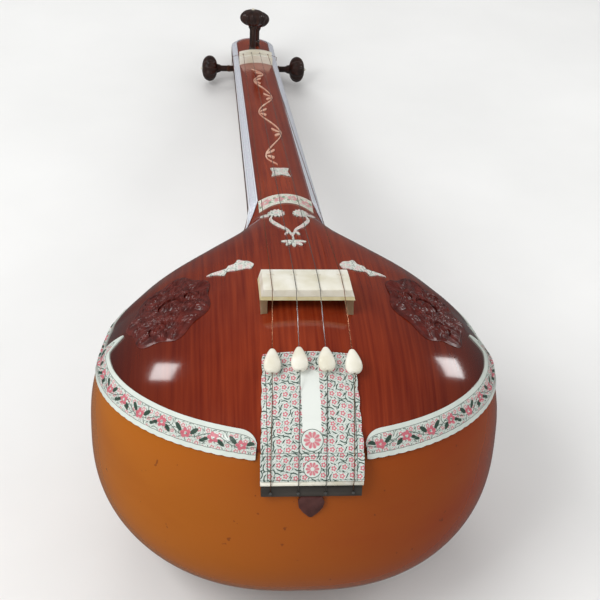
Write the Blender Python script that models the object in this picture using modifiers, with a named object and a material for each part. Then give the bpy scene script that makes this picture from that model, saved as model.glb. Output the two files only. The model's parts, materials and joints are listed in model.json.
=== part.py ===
"""A four-string tanpura, lying on its back on its round gourd and the back of its head.

Every piece is drawn in the instrument's own frame, in metres: X across, Y from the gourd's tail
to the head, Z out of the gourd's rim, with the origin on the rim plane under the soundboard.
The one empty that carries them all tips the instrument onto the floor, which is world z = 0.
"""

import math

import bmesh
import bpy
import numpy as np
from mathutils import Matrix, Vector

# Fits
GAP = 0.0003            # between two pieces that touch
STRING_GAP = 0.0004     # between a string and what it lies on
PEG_CLEARANCE = 0.0003  # round a peg's shaft in its holes

# Gourd
GOURD_HALF_WIDTH = 0.2293
GOURD_HALF_LENGTH = 0.2111
GOURD_HALF_DEPTH = 0.1538
GOURD_CENTRE_Y = 0.0087
GOURD_SINK = 0.51756    # of the gourd's middle below the rim, as a share of its half depth
GOURD_CENTRE_Z = -GOURD_SINK * GOURD_HALF_DEPTH
GOURD_POWER = 2.685     # of the section, where 2 is an ellipse
GOURD_WALL = 0.005
RIM_LEDGE = 0.012       # of the gourd and the collar, under the edge of the soundboard
REST_DEPTH = 0.0010     # dressed off the gourd's back, and off the head's, where they lie

# Outline of the soundboard, which the collar and the neck carry on
RIM_INSET = 0.0123      # of the rim, inside the gourd's widest place
TAIL_INSET = 0.0166     # the same at the tail
RIM_HALF_WIDTH = GOURD_HALF_WIDTH - RIM_INSET
RIM_TO_TAIL = GOURD_HALF_LENGTH - TAIL_INSET  # from the widest place to the tail
RIM_CENTRE_Y = 0.0026
TAIL_Y = RIM_CENTRE_Y - RIM_TO_TAIL
JOINT_Y = 0.2489        # where the neck is joined to the collar
JOINT_HALF_WIDTH = 0.0455
JOINT_EDGE_Z = 0.0787
JOINT_CROWN = 0.0210    # rise of the face from its edges to its middle
SHOULDER = ((0.0, 1.0), (0.23, 0.955), (0.40, 0.79), (0.56, 0.505), (0.72, 0.200), (0.86, 0.035), (1.0, 0.0))
EDGE_RISE = ((0.0, 0.0), (0.17, 0.0), (0.33, 0.15), (0.50, 0.39), (0.75, 0.66), (0.87, 0.80), (1.0, 1.0))
CROWN_RISE = ((0.0, 0.0), (0.05, 0.27), (0.118, 0.50), (0.179, 0.66), (0.317, 0.83), (0.48, 0.928),
              (0.66, 0.973), (1.0, 1.0))
BOARD_POWER = 0.75      # of the arch across the soundboard
NECK_POWER = 0.84       # of the arch across the neck's face
BOARD_THICKNESS = 0.0040

# Collar, from the gourd's cut end to the neck
COLLAR_Y = 0.110
COLLAR_BULGE = ((0.0, 1.0), (0.30, 1.10), (0.55, 0.95), (0.75, 0.50), (0.90, 0.12), (1.0, 0.006))
COLLAR_BOTTOM = ((0.0, 1.0), (0.30, 0.90), (0.55, 0.74), (0.75, 0.52), (0.90, 0.27), (1.0, 0.12))
COLLAR_POWER = 2.3
COLLAR_WALL = 0.008

# Neck and head
NUT_Y = 1.0214
NUT_HALF_WIDTH = 0.0400
NUT_EDGE_Z = 0.0519
NUT_CROWN = 0.0099
HEAD_LENGTH = 0.2086    # from the nut to the end of the head
HEAD_ROUNDING = 0.055
NECK_DEPTH = 0.047      # from the edges of the face to the back
THROAT_LENGTH = 0.090   # over which the back leaves the collar
NECK_WALL = 0.008
FACE_THICKNESS = 0.0040
HEAD_BLOCK = 0.045      # left solid at the end of the head
TENON_HALF_WIDTH = 0.018
TENON_LENGTH = 0.060
TENON_DEPTH = 0.045

# Inlay and bands, let into the lacquer or laid on it
INLAY_THICKNESS = 0.0010
BAND_THICKNESS = 0.0014
COLUMNS = 11            # from the middle of the face to its edge
BAND_COLUMN = 6         # the bands run from this column to the edge
SIDE_BAND_START_Y = 0.205
RIM_BAND_FLANGE = 0.008
RIM_BAND_SKIRT = 0.011
RIM_BAND_FLARE = 0.003  # of the skirt, which lies on the swelling of the gourd
RIM_TIP_Y = -0.006      # of the pointed leaf that ends the wide part of the rim band
RIM_TIP_REACH = 0.026
RIM_STRIP_END_Y = 0.090
RIM_STRIP_FLANGE = 0.003
CROSS_BAND_LENGTH = 0.028
CROSS_BAND_END_Y = 0.2474
PLAQUE_Y = 0.3447
PLAQUE_LENGTH = 0.036
PLAQUE_HALF_WIDTH = 0.0125
HEART_Y = 0.176
HEART_LOBE_X = 0.0165
HEART_STEM_Y = 0.128
HEART_FLOWER_Y = 0.100
VINE_START_Y = 0.975
VINE_END_Y = PLAQUE_Y + 0.0273
VINE_SWING = 0.0135
VINE_WIDTH = 0.0028
VINE_WAVES = 2.6
BIRD_Y = 0.049
BIRD_TURN = math.radians(6)
BIRD_LENGTH = 0.054
CARVING_X = RIM_HALF_WIDTH - 0.076
BIRD_X = CARVING_X - 0.0665
CARVING_Y = 0.004
CARVING_LENGTH = 0.124
CARVING_WIDTH = 0.090
CARVING_THICKNESS = 0.0022

# Bridge
BRIDGE_X = 0.0035
BRIDGE_FRONT_Y = -0.0524
BRIDGE_DEPTH = 0.0525
BRIDGE_HALF_WIDTH = 0.0499
BRIDGE_TOP_HALF_WIDTH = 0.0463
BRIDGE_FOOT_HEIGHT = 0.0138
BRIDGE_FOOT_WIDTH = 0.0068
BRIDGE_BASE_THICKNESS = 0.0040
BRIDGE_PLATE_THICKNESS = 0.0084
BRIDGE_PLATE_CROWN = 0.0010
THREAD_RADIUS = 0.0003
THREAD_LENGTH = 0.0080
THREAD_SETBACK = 0.0360  # from the bridge's front edge

# Nut and string guide
NUT_LENGTH = 0.0090
NUT_HEIGHT = 0.0130
GUIDE_SETBACK = 0.0250
GUIDE_LENGTH = 0.0060
GUIDE_HEIGHT = 0.0170
GUIDE_HOLE_HEIGHT = 0.0115
GUIDE_HOLE_RADIUS = 0.0014

# Strings
STRING_COUNT = 4
STRING_RADIUS = 0.0004
BRIDGE_SPACING = 0.0249
TAIL_SPACING = 0.0271
NUT_SPACING = 0.0150

# Tail plate, block, saddle and end
PLATE_TOP_Y = TAIL_Y + 0.0786
PLATE_TOP_HALF_WIDTH = 0.0469
PLATE_HALF_WIDTH = 0.0508
PLATE_THICKNESS = 0.0030
PLATE_BEND_Y = TAIL_Y + 0.0169  # below this the plate leaves the soundboard
CREASE_Y = TAIL_Y - 0.0053
CREASE_Z = 0.0003
PANEL_HEIGHT = 0.0249
PANEL_LEAN = 0.0095
SCALLOPS = 5
SCALLOP_DEPTH = 0.0012
SADDLE_RADIUS = 0.0031
BLOCK_DROP = 0.0120     # of the block below the saddle
TAIL_END_DROP = 0.0250
TAIL_END_HALF_WIDTH = 0.0130
TAIL_END_THICKNESS = 0.0080
PIN_RADIUS = 0.0015
PIN_LENGTH = 0.0022

# Beads
BEAD_LENGTH = 0.0280
BEAD_WIDTH = 0.0175
BEAD_THICKNESS = 0.0110
BEAD_BORE_RADIUS = 0.0016

# Pegs
SIDE_PEG_Y = NUT_Y + 0.0968
SIDE_PEG_DROP = 0.0275  # below the edge of the face
FRONT_PEGS = ((-0.004, NUT_Y + 0.0686), (0.006, NUT_Y + 0.1246))
KNOB_RADIUS = 0.0240
KNOB_THICKNESS = 0.0290
SIDE_STANDOFF = 0.0455  # from the wood to the middle of the knob
FRONT_STANDOFFS = (0.0666, 0.0508)
PEG_SHAFT_RADIUS = 0.0055
SIDE_SHAFT_END = 0.0080  # left between a side peg's end and the middle of the head
SOCKET_DEPTH = 0.0045
BUTTON_RADIUS = 0.0030
BUTTON_LENGTH = 0.0025
WINDING_TURNS = 4
WINDING_PITCH = 0.0014
WINDING_START = 0.0040  # of the string's end, from the wood
COIL_SETBACK = 0.0022   # of the coil past the string's end, so it turns clear of the string
POINTS_PER_TURN = 18

# Resolution
GOURD_RINGS = 15
LOOP_POINTS = 32
LATHE_STEPS = 18

COLOURS = {
    "gourd": ((0.34, 0.10, 0.015), 0.25),
    "lacquer": ((0.17, 0.018, 0.006), 0.15),
    "dark_wood": ((0.045, 0.020, 0.016), 0.35),
    "ebony": ((0.030, 0.026, 0.022), 0.45),
    "bone": ((0.78, 0.76, 0.66), 0.35),
    "inlay": ((0.66, 0.70, 0.68), 0.30),
    "carving": ((0.070, 0.010, 0.009), 0.35),
    "thread": ((0.75, 0.70, 0.60), 0.80),
    "wire": ((0.62, 0.36, 0.24), 0.25),
}

HEAD_END_Y = NUT_Y + HEAD_LENGTH


def smooth(value, stations):
    """A monotone cubic through (place, value) stations, held level past both ends."""
    xs = np.array([s[0] for s in stations], float)
    ys = np.array([s[1] for s in stations], float)
    steps = np.diff(xs)
    slopes = np.diff(ys) / steps
    tangents = np.zeros(len(xs))
    for i in range(1, len(xs) - 1):
        if slopes[i - 1] * slopes[i] > 0:
            w1 = 2 * steps[i] + steps[i - 1]
            w2 = steps[i] + 2 * steps[i - 1]
            tangents[i] = (w1 + w2) / (w1 / slopes[i - 1] + w2 / slopes[i])
    tangents[0] = slopes[0]
    tangents[-1] = slopes[-1]
    x = min(max(value, xs[0]), xs[-1])
    i = int(min(max(np.searchsorted(xs, x, side="right") - 1, 0), len(xs) - 2))
    t = (x - xs[i]) / steps[i]
    return float(
        ys[i] * (2 * t**3 - 3 * t**2 + 1)
        + ys[i + 1] * (3 * t**2 - 2 * t**3)
        + tangents[i] * steps[i] * (t**3 - 2 * t**2 + t)
        + tangents[i + 1] * steps[i] * (t**3 - t**2)
    )


def along(y, start, end):
    return (y - start) / (end - start)


def lerp(a, b, t):
    return a + (b - a) * t


def head_rounding(y):
    """1 along the head, falling to 0 at its end as a quarter of an ellipse."""
    past = (y - (HEAD_END_Y - HEAD_ROUNDING)) / HEAD_ROUNDING
    return math.sqrt(max(0.0, 1 - max(0.0, past) ** 2))


def half_width(y):
    """Half the width of the soundboard, or of the neck's face."""
    if y <= RIM_CENTRE_Y:
        return RIM_HALF_WIDTH * math.sqrt(max(0.0, 1 - ((RIM_CENTRE_Y - y) / RIM_TO_TAIL) ** 2))
    if y <= JOINT_Y:
        share = smooth(along(y, RIM_CENTRE_Y, JOINT_Y), SHOULDER)
        return lerp(JOINT_HALF_WIDTH, RIM_HALF_WIDTH, share)
    if y <= NUT_Y:
        return lerp(JOINT_HALF_WIDTH, NUT_HALF_WIDTH, along(y, JOINT_Y, NUT_Y))
    return NUT_HALF_WIDTH * head_rounding(y)


def edge_z(y):
    """Height of the soundboard's edge, or of the edges of the neck's face."""
    if y <= JOINT_Y:
        return JOINT_EDGE_Z * smooth(along(y, RIM_CENTRE_Y, JOINT_Y), EDGE_RISE)
    return lerp(JOINT_EDGE_Z, NUT_EDGE_Z, min(1.0, along(y, JOINT_Y, NUT_Y)))


def crown(y):
    """Rise of the face from its edges to its middle."""
    if y <= JOINT_Y:
        middle = (JOINT_EDGE_Z + JOINT_CROWN) * smooth(along(y, TAIL_Y, JOINT_Y), CROWN_RISE)
        return max(0.0, middle - edge_z(y))
    return lerp(JOINT_CROWN, NUT_CROWN, min(1.0, along(y, JOINT_Y, NUT_Y))) * head_rounding(y)


def face_z(x, y):
    """Height of the top surface of the soundboard and of the neck's face."""
    half = max(half_width(y), 1e-9)
    across = min(1.0, abs(x) / half)
    power = lerp(BOARD_POWER, NECK_POWER, min(1.0, max(0.0, along(y, RIM_CENTRE_Y, JOINT_Y))))
    return edge_z(y) + crown(y) * (1 - across**2) ** power


def column_share(k):
    return math.sin(math.pi / 2 * k / COLUMNS)


def board_rows():
    """Rows of the soundboard: close together at the steep tail and in the shoulders."""
    reach = RIM_CENTRE_Y - TAIL_Y
    tail = [RIM_CENTRE_Y - reach * math.cos(math.pi / 2 * i / 11) for i in range(11)]
    body = list(np.linspace(RIM_CENTRE_Y, JOINT_Y, 20))
    return [float(y) for y in tail + body]


def neck_rows():
    """Rows of the neck's face: far apart where it is straight, close in the rounded end."""
    start = HEAD_END_Y - HEAD_ROUNDING
    end = [start + HEAD_ROUNDING * math.sin(math.pi / 2 * i / 6) for i in range(1, 7)]
    straight = list(np.linspace(JOINT_Y + GAP, NUT_Y, 6))
    return [float(y) for y in straight + [NUT_Y + NUT_LENGTH, (NUT_Y + start) / 2, start] + end]


def hull_section(y):
    """Half-width, middle height, rise, fall and power of the closed section of the body at y."""
    t = (y - GOURD_CENTRE_Y) / GOURD_HALF_LENGTH
    if y <= COLLAR_Y:
        half = GOURD_HALF_WIDTH * math.sqrt(max(0.0, 1 - t * t))
        rise = GOURD_HALF_DEPTH * max(0.0, 1 - abs(t) ** GOURD_POWER) ** (1 / GOURD_POWER)
        return half, GOURD_CENTRE_Z, rise, rise, GOURD_POWER
    round_off = head_rounding(y)
    straight_rise = 0.012
    if y >= JOINT_Y:
        middle = edge_z(y) - straight_rise * round_off
        throat = JOINT_EDGE_Z - straight_rise - hull_section(JOINT_Y - 1e-6)[3]
        deep = (edge_z(JOINT_Y) - throat - NECK_DEPTH) * max(0.0, 1 - along(y, JOINT_Y, JOINT_Y + THROAT_LENGTH)) ** 2
        fall = (NECK_DEPTH + deep) * round_off - (edge_z(y) - middle)
        return half_width(y), middle, 8 * straight_rise * round_off, max(fall, 0.0), COLLAR_POWER
    share = along(y, COLLAR_Y, JOINT_Y)
    at_cut = hull_section(COLLAR_Y)
    bulge = (at_cut[0] - half_width(COLLAR_Y)) * smooth(share, COLLAR_BULGE)
    middle = lerp(GOURD_CENTRE_Z, JOINT_EDGE_Z - straight_rise, smooth(share, ((0, 0), (0.5, 0.3), (1, 1))))
    bottom = (GOURD_CENTRE_Z - at_cut[3]) * smooth(share, COLLAR_BOTTOM)
    half = half_width(y) + bulge
    power = lerp(GOURD_POWER, COLLAR_POWER, share)
    inset = max(1e-4, 1 - (half_width(y) / half) ** power) ** (1 / power)
    rise = (edge_z(y) - middle) / inset
    return half, middle, rise, middle - bottom, power


def hull_loop(y, inset=0.0):
    """The closed section at y as points, starting at +X and going over the top, drawn in by inset."""
    half, middle, rise, fall, power = hull_section(y)
    angle = np.arange(LOOP_POINTS) * 2 * math.pi / LOOP_POINTS
    c, s = np.cos(angle), np.sin(angle)
    reach = np.where(s > 0, max(rise - inset, 1e-6), max(fall - inset, 1e-6))
    x = max(half - inset, 1e-6) * np.sign(c) * np.abs(c) ** (2 / power)
    z = middle + reach * np.sign(s) * np.abs(s) ** (2 / power)
    return np.stack([x, np.full(LOOP_POINTS, y), z], -1)


def collection(name):
    made = bpy.data.collections.new(name)
    bpy.context.scene.collection.children.link(made)
    return made


def material(name):
    colour, roughness = COLOURS[name]
    made = bpy.data.materials.get(name) or bpy.data.materials.new(name)
    made.use_nodes = True
    shader = made.node_tree.nodes["Principled BSDF"]
    shader.inputs["Base Color"].default_value = (*colour, 1.0)
    shader.inputs["Roughness"].default_value = roughness
    shader.inputs["Metallic"].default_value = 1.0 if name == "wire" else 0.0
    return made


def adopt(obj, finish, parent=None):
    """Puts a piece in the instrument's collection, on its empty and in its finish."""
    PARTS.objects.link(obj)
    obj.parent = parent or FRAME
    obj.data.materials.append(material(finish))
    return obj


def mesh_object(name, points, faces):
    """A closed mesh with its doubles merged and its faces turned outwards."""
    mesh = bpy.data.meshes.new(name)
    mesh.from_pydata([tuple(p) for p in points], [], [tuple(f) for f in faces])
    bm = bmesh.new()
    bm.from_mesh(mesh)
    bmesh.ops.remove_doubles(bm, verts=bm.verts, dist=2e-6)
    bmesh.ops.recalc_face_normals(bm, faces=bm.faces)
    if bm.calc_volume(signed=True) < 0:
        bmesh.ops.reverse_faces(bm, faces=bm.faces)
    bm.to_mesh(mesh)
    bm.free()
    return bpy.data.objects.new(name, mesh)


def smooth_shaded(obj, degrees=35):
    obj.data.shade_smooth()
    obj.data.set_sharp_from_angle(angle=math.radians(degrees))
    return obj


def loft(name, loops):
    """Closed loops of equal count joined in order, with both ends filled."""
    count = len(loops[0])
    points = np.concatenate(loops)
    faces = []
    for ring in range(len(loops) - 1):
        for i in range(count):
            a, b = ring * count + i, ring * count + (i + 1) % count
            faces.append((a, b, b + count, a + count))
    faces.append(tuple(range(count)))
    faces.append(tuple((len(loops) - 1) * count + i for i in range(count)))
    return mesh_object(name, points, faces)


def layer(name, top, bottom):
    """Two grids of points with the same rows and columns, closed into one solid round their borders."""
    rows, columns = top.shape[:2]
    points = np.concatenate([top.reshape(-1, 3), bottom.reshape(-1, 3)])
    under = rows * columns
    faces = []
    for r in range(rows - 1):
        for c in range(columns - 1):
            a = r * columns + c
            for half in ((a, a + 1, a + 1 + columns), (a, a + 1 + columns, a + columns)):
                faces.append(half)
                faces.append(tuple(under + v for v in reversed(half)))
    border = [c for c in range(columns)]
    border += [r * columns + columns - 1 for r in range(1, rows)]
    border += [(rows - 1) * columns + c for c in range(columns - 2, -1, -1)]
    border += [r * columns for r in range(rows - 2, 0, -1)]
    for a, b in zip(border, border[1:] + border[:1]):
        faces.append((a, under + a, under + b, b))
    return mesh_object(name, points, faces)


def face_grid(rows, shares, lift):
    """Points of the top surface, raised by lift, at each row and at each share of its half-width."""
    return np.array([[(u * half_width(y), y, face_z(u * half_width(y), y) + lift) for u in shares] for y in rows])


def face_layer(name, rows, low, high, shares=None):
    """The slice of space from low to high over the top surface."""
    if shares is None:
        shares = [column_share(k) for k in range(-COLUMNS, COLUMNS + 1)]
    return layer(name, face_grid(rows, shares, high), face_grid(rows, shares, low))


def helper(obj):
    """Puts a cutter with the cutters, out of the render."""
    CUTTERS.objects.link(obj)
    obj.parent = FRAME
    obj.hide_render = True
    obj.display_type = "WIRE"
    return obj


def boolean(obj, cutter, operation="DIFFERENCE"):
    step = obj.modifiers.new(operation.lower(), "BOOLEAN")
    step.operation = operation
    step.solver = "MANIFOLD"
    step.object = cutter
    return obj


def box(name, low, high):
    bm = bmesh.new()
    bmesh.ops.create_cube(bm, size=1.0)
    size = [b - a for a, b in zip(low, high)]
    middle = [(a + b) / 2 for a, b in zip(low, high)]
    bmesh.ops.scale(bm, vec=size, verts=bm.verts)
    bmesh.ops.translate(bm, vec=middle, verts=bm.verts)
    mesh = bpy.data.meshes.new(name)
    bm.to_mesh(mesh)
    bm.free()
    return bpy.data.objects.new(name, mesh)


def cylinder(name, start, end, radius, sides=24):
    """A cylinder between two points."""
    start, end = Vector(start), Vector(end)
    bm = bmesh.new()
    turn = (end - start).to_track_quat("Z", "Y").to_matrix().to_4x4()
    place = Matrix.Translation((start + end) / 2) @ turn
    length = (end - start).length
    bmesh.ops.create_cone(
        bm, cap_ends=True, segments=sides, radius1=radius, radius2=radius, depth=length, matrix=place
    )
    mesh = bpy.data.meshes.new(name)
    bm.to_mesh(mesh)
    bm.free()
    return bpy.data.objects.new(name, mesh)


def prism(name, outline, low, high):
    """An outline in X and Y, carried from low to high in Z."""
    loops = [np.array([(x, y, z) for x, y in outline]) for z in (low, high)]
    return loft(name, loops)


def turned(name, profile, steps=LATHE_STEPS):
    """A profile of (radius, height), top to bottom, turned round local Z."""
    mesh = bpy.data.meshes.new(name)
    points = [(r, 0.0, z) for r, z in profile]
    mesh.from_pydata(points, [(i, i + 1) for i in range(len(points) - 1)], [])
    obj = bpy.data.objects.new(name, mesh)
    screw = obj.modifiers.new("turn", "SCREW")
    screw.steps = steps
    screw.render_steps = steps
    screw.use_merge_vertices = True
    screw.merge_threshold = 1e-5
    screw.use_smooth_shade = True
    return obj


def tube(name, points, radius, resolution):
    """A wire through points."""
    curve = bpy.data.curves.new(name, "CURVE")
    curve.dimensions = "3D"
    curve.bevel_depth = radius
    curve.bevel_resolution = resolution
    curve.use_fill_caps = True
    spline = curve.splines.new("POLY")
    spline.points.add(len(points) - 1)
    for point, place in zip(spline.points, points):
        point.co = (*place, 1.0)
    return bpy.data.objects.new(name, curve)


def string_index():
    return range(STRING_COUNT)


def string_offset(i):
    return i - (STRING_COUNT - 1) / 2


def floor_height(tilt, ys):
    """Lowest point of the body's back over ys once it is tipped head down by tilt."""
    lowest = []
    for y in ys:
        half, middle, rise, fall, power = hull_section(y)
        lowest.append((middle - fall) * math.cos(tilt) - y * math.sin(tilt))
    return min(lowest)


def resting_tilt():
    """The tilt at which the gourd and the head come down to the floor together, by halving."""
    gourd_ys = np.linspace(TAIL_Y, JOINT_Y - 0.02, 160)
    head_ys = np.linspace(NUT_Y, HEAD_END_Y - 1e-4, 160)
    low, high = 0.0, 0.6
    for _ in range(50):
        tilt = (low + high) / 2
        if floor_height(tilt, gourd_ys) < floor_height(tilt, head_ys):
            low = tilt
        else:
            high = tilt
    return tilt, floor_height(tilt, gourd_ys) + REST_DEPTH


def floor_cutter():
    """A slab whose top is the floor, in the instrument's tipped frame."""
    slab = box("floor_cutter", (-0.5, -0.6, -0.2), (0.5, 1.8, 0.0))
    slab.data.transform(Matrix.Rotation(TILT, 4, "X") @ Matrix.Translation((0, 0, FLOOR)))
    return helper(slab)


def under_face_cutter():
    """Everything above the underside of the soundboard and of the neck's face."""
    margin, ceiling = 0.050, 0.300
    shares = [column_share(k) for k in range(-COLUMNS, COLUMNS + 1)]
    rows = [TAIL_Y - 0.10] + board_rows() + neck_rows() + [HEAD_END_Y + 0.05]
    low = face_grid(rows, shares, -BOARD_THICKNESS - GAP)
    outer = low[:, [0, -1]].copy()
    outer[:, 0, 0] -= margin
    outer[:, 1, 0] += margin
    low = np.concatenate([outer[:, :1], low, outer[:, 1:]], axis=1)
    # At the two ends of the face its columns meet in a point, so they are spread a little here.
    for row, y in enumerate(rows):
        if half_width(y) < GAP:
            low[row, 1:-1, 0] += np.linspace(-GAP, GAP, len(shares))
    high = low.copy()
    high[:, :, 2] = ceiling
    return helper(layer("under_face_cutter", high, low))


def mouth_cutter():
    """The opening under the soundboard, within the gourd's and the collar's rim."""
    ys = np.linspace(TAIL_Y + RIM_LEDGE, JOINT_Y + 0.001, 26)
    right = [(half_width(y) - RIM_LEDGE, y) for y in ys if half_width(y) > RIM_LEDGE * 2]
    outline = right + [(-x, y) for x, y in reversed(right)]
    return helper(prism("mouth_cutter", outline, -0.0187, 0.3))


def make_gourd(face_cutter, floor, mouth):
    reach = GOURD_HALF_LENGTH
    turns = [GOURD_CENTRE_Y - reach * math.cos(math.pi * i / (2 * GOURD_RINGS)) for i in range(2 * GOURD_RINGS + 1)]
    loops = [gourd_loop(y, 0.0) for y in turns]
    gourd = smooth_shaded(adopt(loft("gourd_shell", loops), "gourd"))
    inner_turns = [GOURD_CENTRE_Y - (reach - GOURD_WALL) * math.cos(math.pi * i / 28) for i in range(29)]
    inner = helper(loft("gourd_hollow_cutter", [gourd_loop(y, GOURD_WALL) for y in inner_turns]))
    end = helper(box("gourd_end_cutter", (-0.3, COLLAR_Y, -0.4), (0.3, 0.4, 0.2)))
    for cutter in (inner, mouth, face_cutter, end, floor):
        boolean(gourd, cutter)


def gourd_loop(y, wall):
    """Section of the whole round gourd at y, inside a wall of the given thickness."""
    length = GOURD_HALF_LENGTH - wall
    t = min(1.0, abs(y - GOURD_CENTRE_Y) / length)
    half = max((GOURD_HALF_WIDTH - wall) * math.sqrt(max(0.0, 1 - t * t)), 1e-7)
    deep = max((GOURD_HALF_DEPTH - wall) * (1 - t**GOURD_POWER) ** (1 / GOURD_POWER), 1e-7)
    angle = np.arange(LOOP_POINTS) * 2 * math.pi / LOOP_POINTS
    c, s = np.cos(angle), np.sin(angle)
    x = half * np.sign(c) * np.abs(c) ** (2 / GOURD_POWER)
    z = GOURD_CENTRE_Z + deep * np.sign(s) * np.abs(s) ** (2 / GOURD_POWER)
    return np.stack([x, np.full(LOOP_POINTS, y), z], -1)


def make_collar(face_cutter, floor, mouth):
    ys = np.linspace(COLLAR_Y + GAP, JOINT_Y, 12)
    collar = smooth_shaded(adopt(loft("shoulder_collar", [hull_loop(y) for y in ys]), "gourd"))
    inner = [hull_loop(y, COLLAR_WALL) for y in np.linspace(COLLAR_Y + GAP, JOINT_Y - 1e-5, 10)]
    first, last = inner[0].copy(), inner[-1].copy()
    first[:, 1] -= 0.02
    last[:, 1] += 0.02
    hollow = helper(loft("collar_hollow_cutter", [first, *inner, last]))
    for cutter in (hollow, mouth, face_cutter, floor):
        boolean(collar, cutter)


def neck_ys():
    start = HEAD_END_Y - HEAD_ROUNDING
    throat = [JOINT_Y + GAP + THROAT_LENGTH * t for t in (0.0, 0.17, 0.36, 0.6, 1.0)]
    end = [start + HEAD_ROUNDING * math.sin(math.pi / 2 * i / 8) for i in range(9)]
    return throat + [NUT_Y] + end


def make_neck(face_cutter, floor):
    neck = smooth_shaded(adopt(loft("neck_shell", [hull_loop(y) for y in neck_ys()]), "gourd"))
    stop = HEAD_END_Y - HEAD_BLOCK - HEAD_ROUNDING / 2
    ys = [JOINT_Y + GAP, JOINT_Y + THROAT_LENGTH * 0.36, JOINT_Y + THROAT_LENGTH, stop]
    inner = [hull_loop(y, NECK_WALL) for y in ys]
    first = inner[0].copy()
    first[:, 1] -= 0.02
    hollow = helper(loft("neck_hollow_cutter", [first, *inner]))
    for cutter in (hollow, face_cutter, floor):
        boolean(neck, cutter)
    return neck


def make_tenon(face_cutter):
    """The block inside the joint, under the face, that ties the neck to the collar."""
    low = edge_z(JOINT_Y) - TENON_DEPTH + JOINT_CROWN
    tenon = box(
        "joint_block",
        (-TENON_HALF_WIDTH, JOINT_Y - TENON_LENGTH / 2, low),
        (TENON_HALF_WIDTH, JOINT_Y + TENON_LENGTH / 2, edge_z(JOINT_Y) + JOINT_CROWN),
    )
    boolean(adopt(tenon, "gourd"), face_cutter)


def make_faces():
    board = smooth_shaded(adopt(face_layer("soundboard", board_rows(), -BOARD_THICKNESS, 0.0), "lacquer"))
    face = smooth_shaded(adopt(face_layer("neck_face", neck_rows(), -FACE_THICKNESS, 0.0), "lacquer"))
    return board, face


def side_band(name, side):
    """A strip over the outer part of the face, from a point on the shoulder to the nut."""
    rows = [y for y in board_rows() if y > SIDE_BAND_START_Y] + [y for y in neck_rows() if y <= NUT_Y + 1e-6]
    inner = column_share(BAND_COLUMN)
    fan = COLUMNS - BAND_COLUMN + 1
    tops, bottoms = [], []
    for y in rows:
        start = lerp(0.97, inner, min(1.0, along(y, SIDE_BAND_START_Y, JOINT_Y)))
        shares = [column_share(k) for k in range(BAND_COLUMN, COLUMNS + 1)]
        if start > inner:
            shares = [lerp(start, 1.0, k / (fan - 1)) for k in range(fan)]
        tops.append([point_on_face(side * u, y, GAP + BAND_THICKNESS) for u in shares])
        bottoms.append([point_on_face(side * u, y, GAP) for u in shares])
    return smooth_shaded(adopt(layer(name, np.array(tops), np.array(bottoms)), "inlay"))


def point_on_face(share, y, lift):
    x = share * half_width(y)
    return (x, y, face_z(x, y) + lift)


def inlay(name, outlines, rows, finish="inlay", thickness=INLAY_THICKNESS, cut_from=None):
    """A thin slice of the top surface, cut to one or more overlapping outlines."""
    piece = face_layer(name, rows, GAP, GAP + thickness)
    shape = None
    for number, outline in enumerate(outlines):
        part = helper(prism(f"{name}_outline_{number}", outline, -0.02, 0.20))
        if shape is None:
            shape = part
        else:
            boolean(shape, part, "UNION")
    boolean(piece, shape, "DIFFERENCE" if cut_from else "INTERSECT")
    return smooth_shaded(adopt(piece, finish))


def rows_over(rows, low, high):
    """The rows that cover low to high, with one to spare at each end."""
    first = max([i for i, y in enumerate(rows) if y < low], default=0)
    last = min([i for i, y in enumerate(rows) if y > high], default=len(rows) - 1)
    return rows[first: last + 1]


def ellipse(x, y, rx, ry, turn=0.0, points=12):
    angle = np.arange(points) * 2 * math.pi / points
    c, s = math.cos(turn), math.sin(turn)
    return [
        (x + rx * math.cos(a) * c - ry * math.sin(a) * s, y + rx * math.cos(a) * s + ry * math.sin(a) * c)
        for a in angle
    ]


def ribbon(centre, width):
    """An outline of the given width along a line of (x, y) points."""
    points = np.array(centre)
    ways = np.gradient(points, axis=0)
    ways /= np.linalg.norm(ways, axis=1)[:, None]
    side = np.stack([-ways[:, 1], ways[:, 0]], -1) * width / 2
    return [tuple(p) for p in points + side] + [tuple(p) for p in (points - side)[::-1]]


def vine_x(y):
    share = along(y, VINE_START_Y, VINE_END_Y)
    return VINE_SWING * math.sin(2 * math.pi * (VINE_WAVES * share - 0.12)) * min(1.0, 4 * share + 0.5)


def make_vine():
    ys = np.linspace(VINE_START_Y, VINE_END_Y, 40)
    shapes = [ribbon([(vine_x(y), y) for y in ys], VINE_WIDTH)]
    leaves = 5
    for i in range(leaves):
        y = lerp(VINE_START_Y, VINE_END_Y, (i + 0.6) / leaves)
        side = -1 if vine_x(y) > 0 else 1
        shapes.append(ellipse(vine_x(y) + side * 0.003, y, 0.0075, 0.0040, side * 0.5, 8))
    return inlay("vine_inlay", shapes, rows_over(neck_rows(), VINE_END_Y, VINE_START_Y))


def make_plaque():
    half, length = PLAQUE_HALF_WIDTH, PLAQUE_LENGTH / 2
    outline = []
    for x, y in ((-1, -1), (0, -0.8), (1, -1), (0.8, 0), (1, 1), (0, 0.8), (-1, 1), (-0.8, 0)):
        outline.append((x * half, PLAQUE_Y + y * length))
    return inlay("plaque_inlay", [outline], rows_over(neck_rows(), PLAQUE_Y - length, PLAQUE_Y + length))


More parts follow.
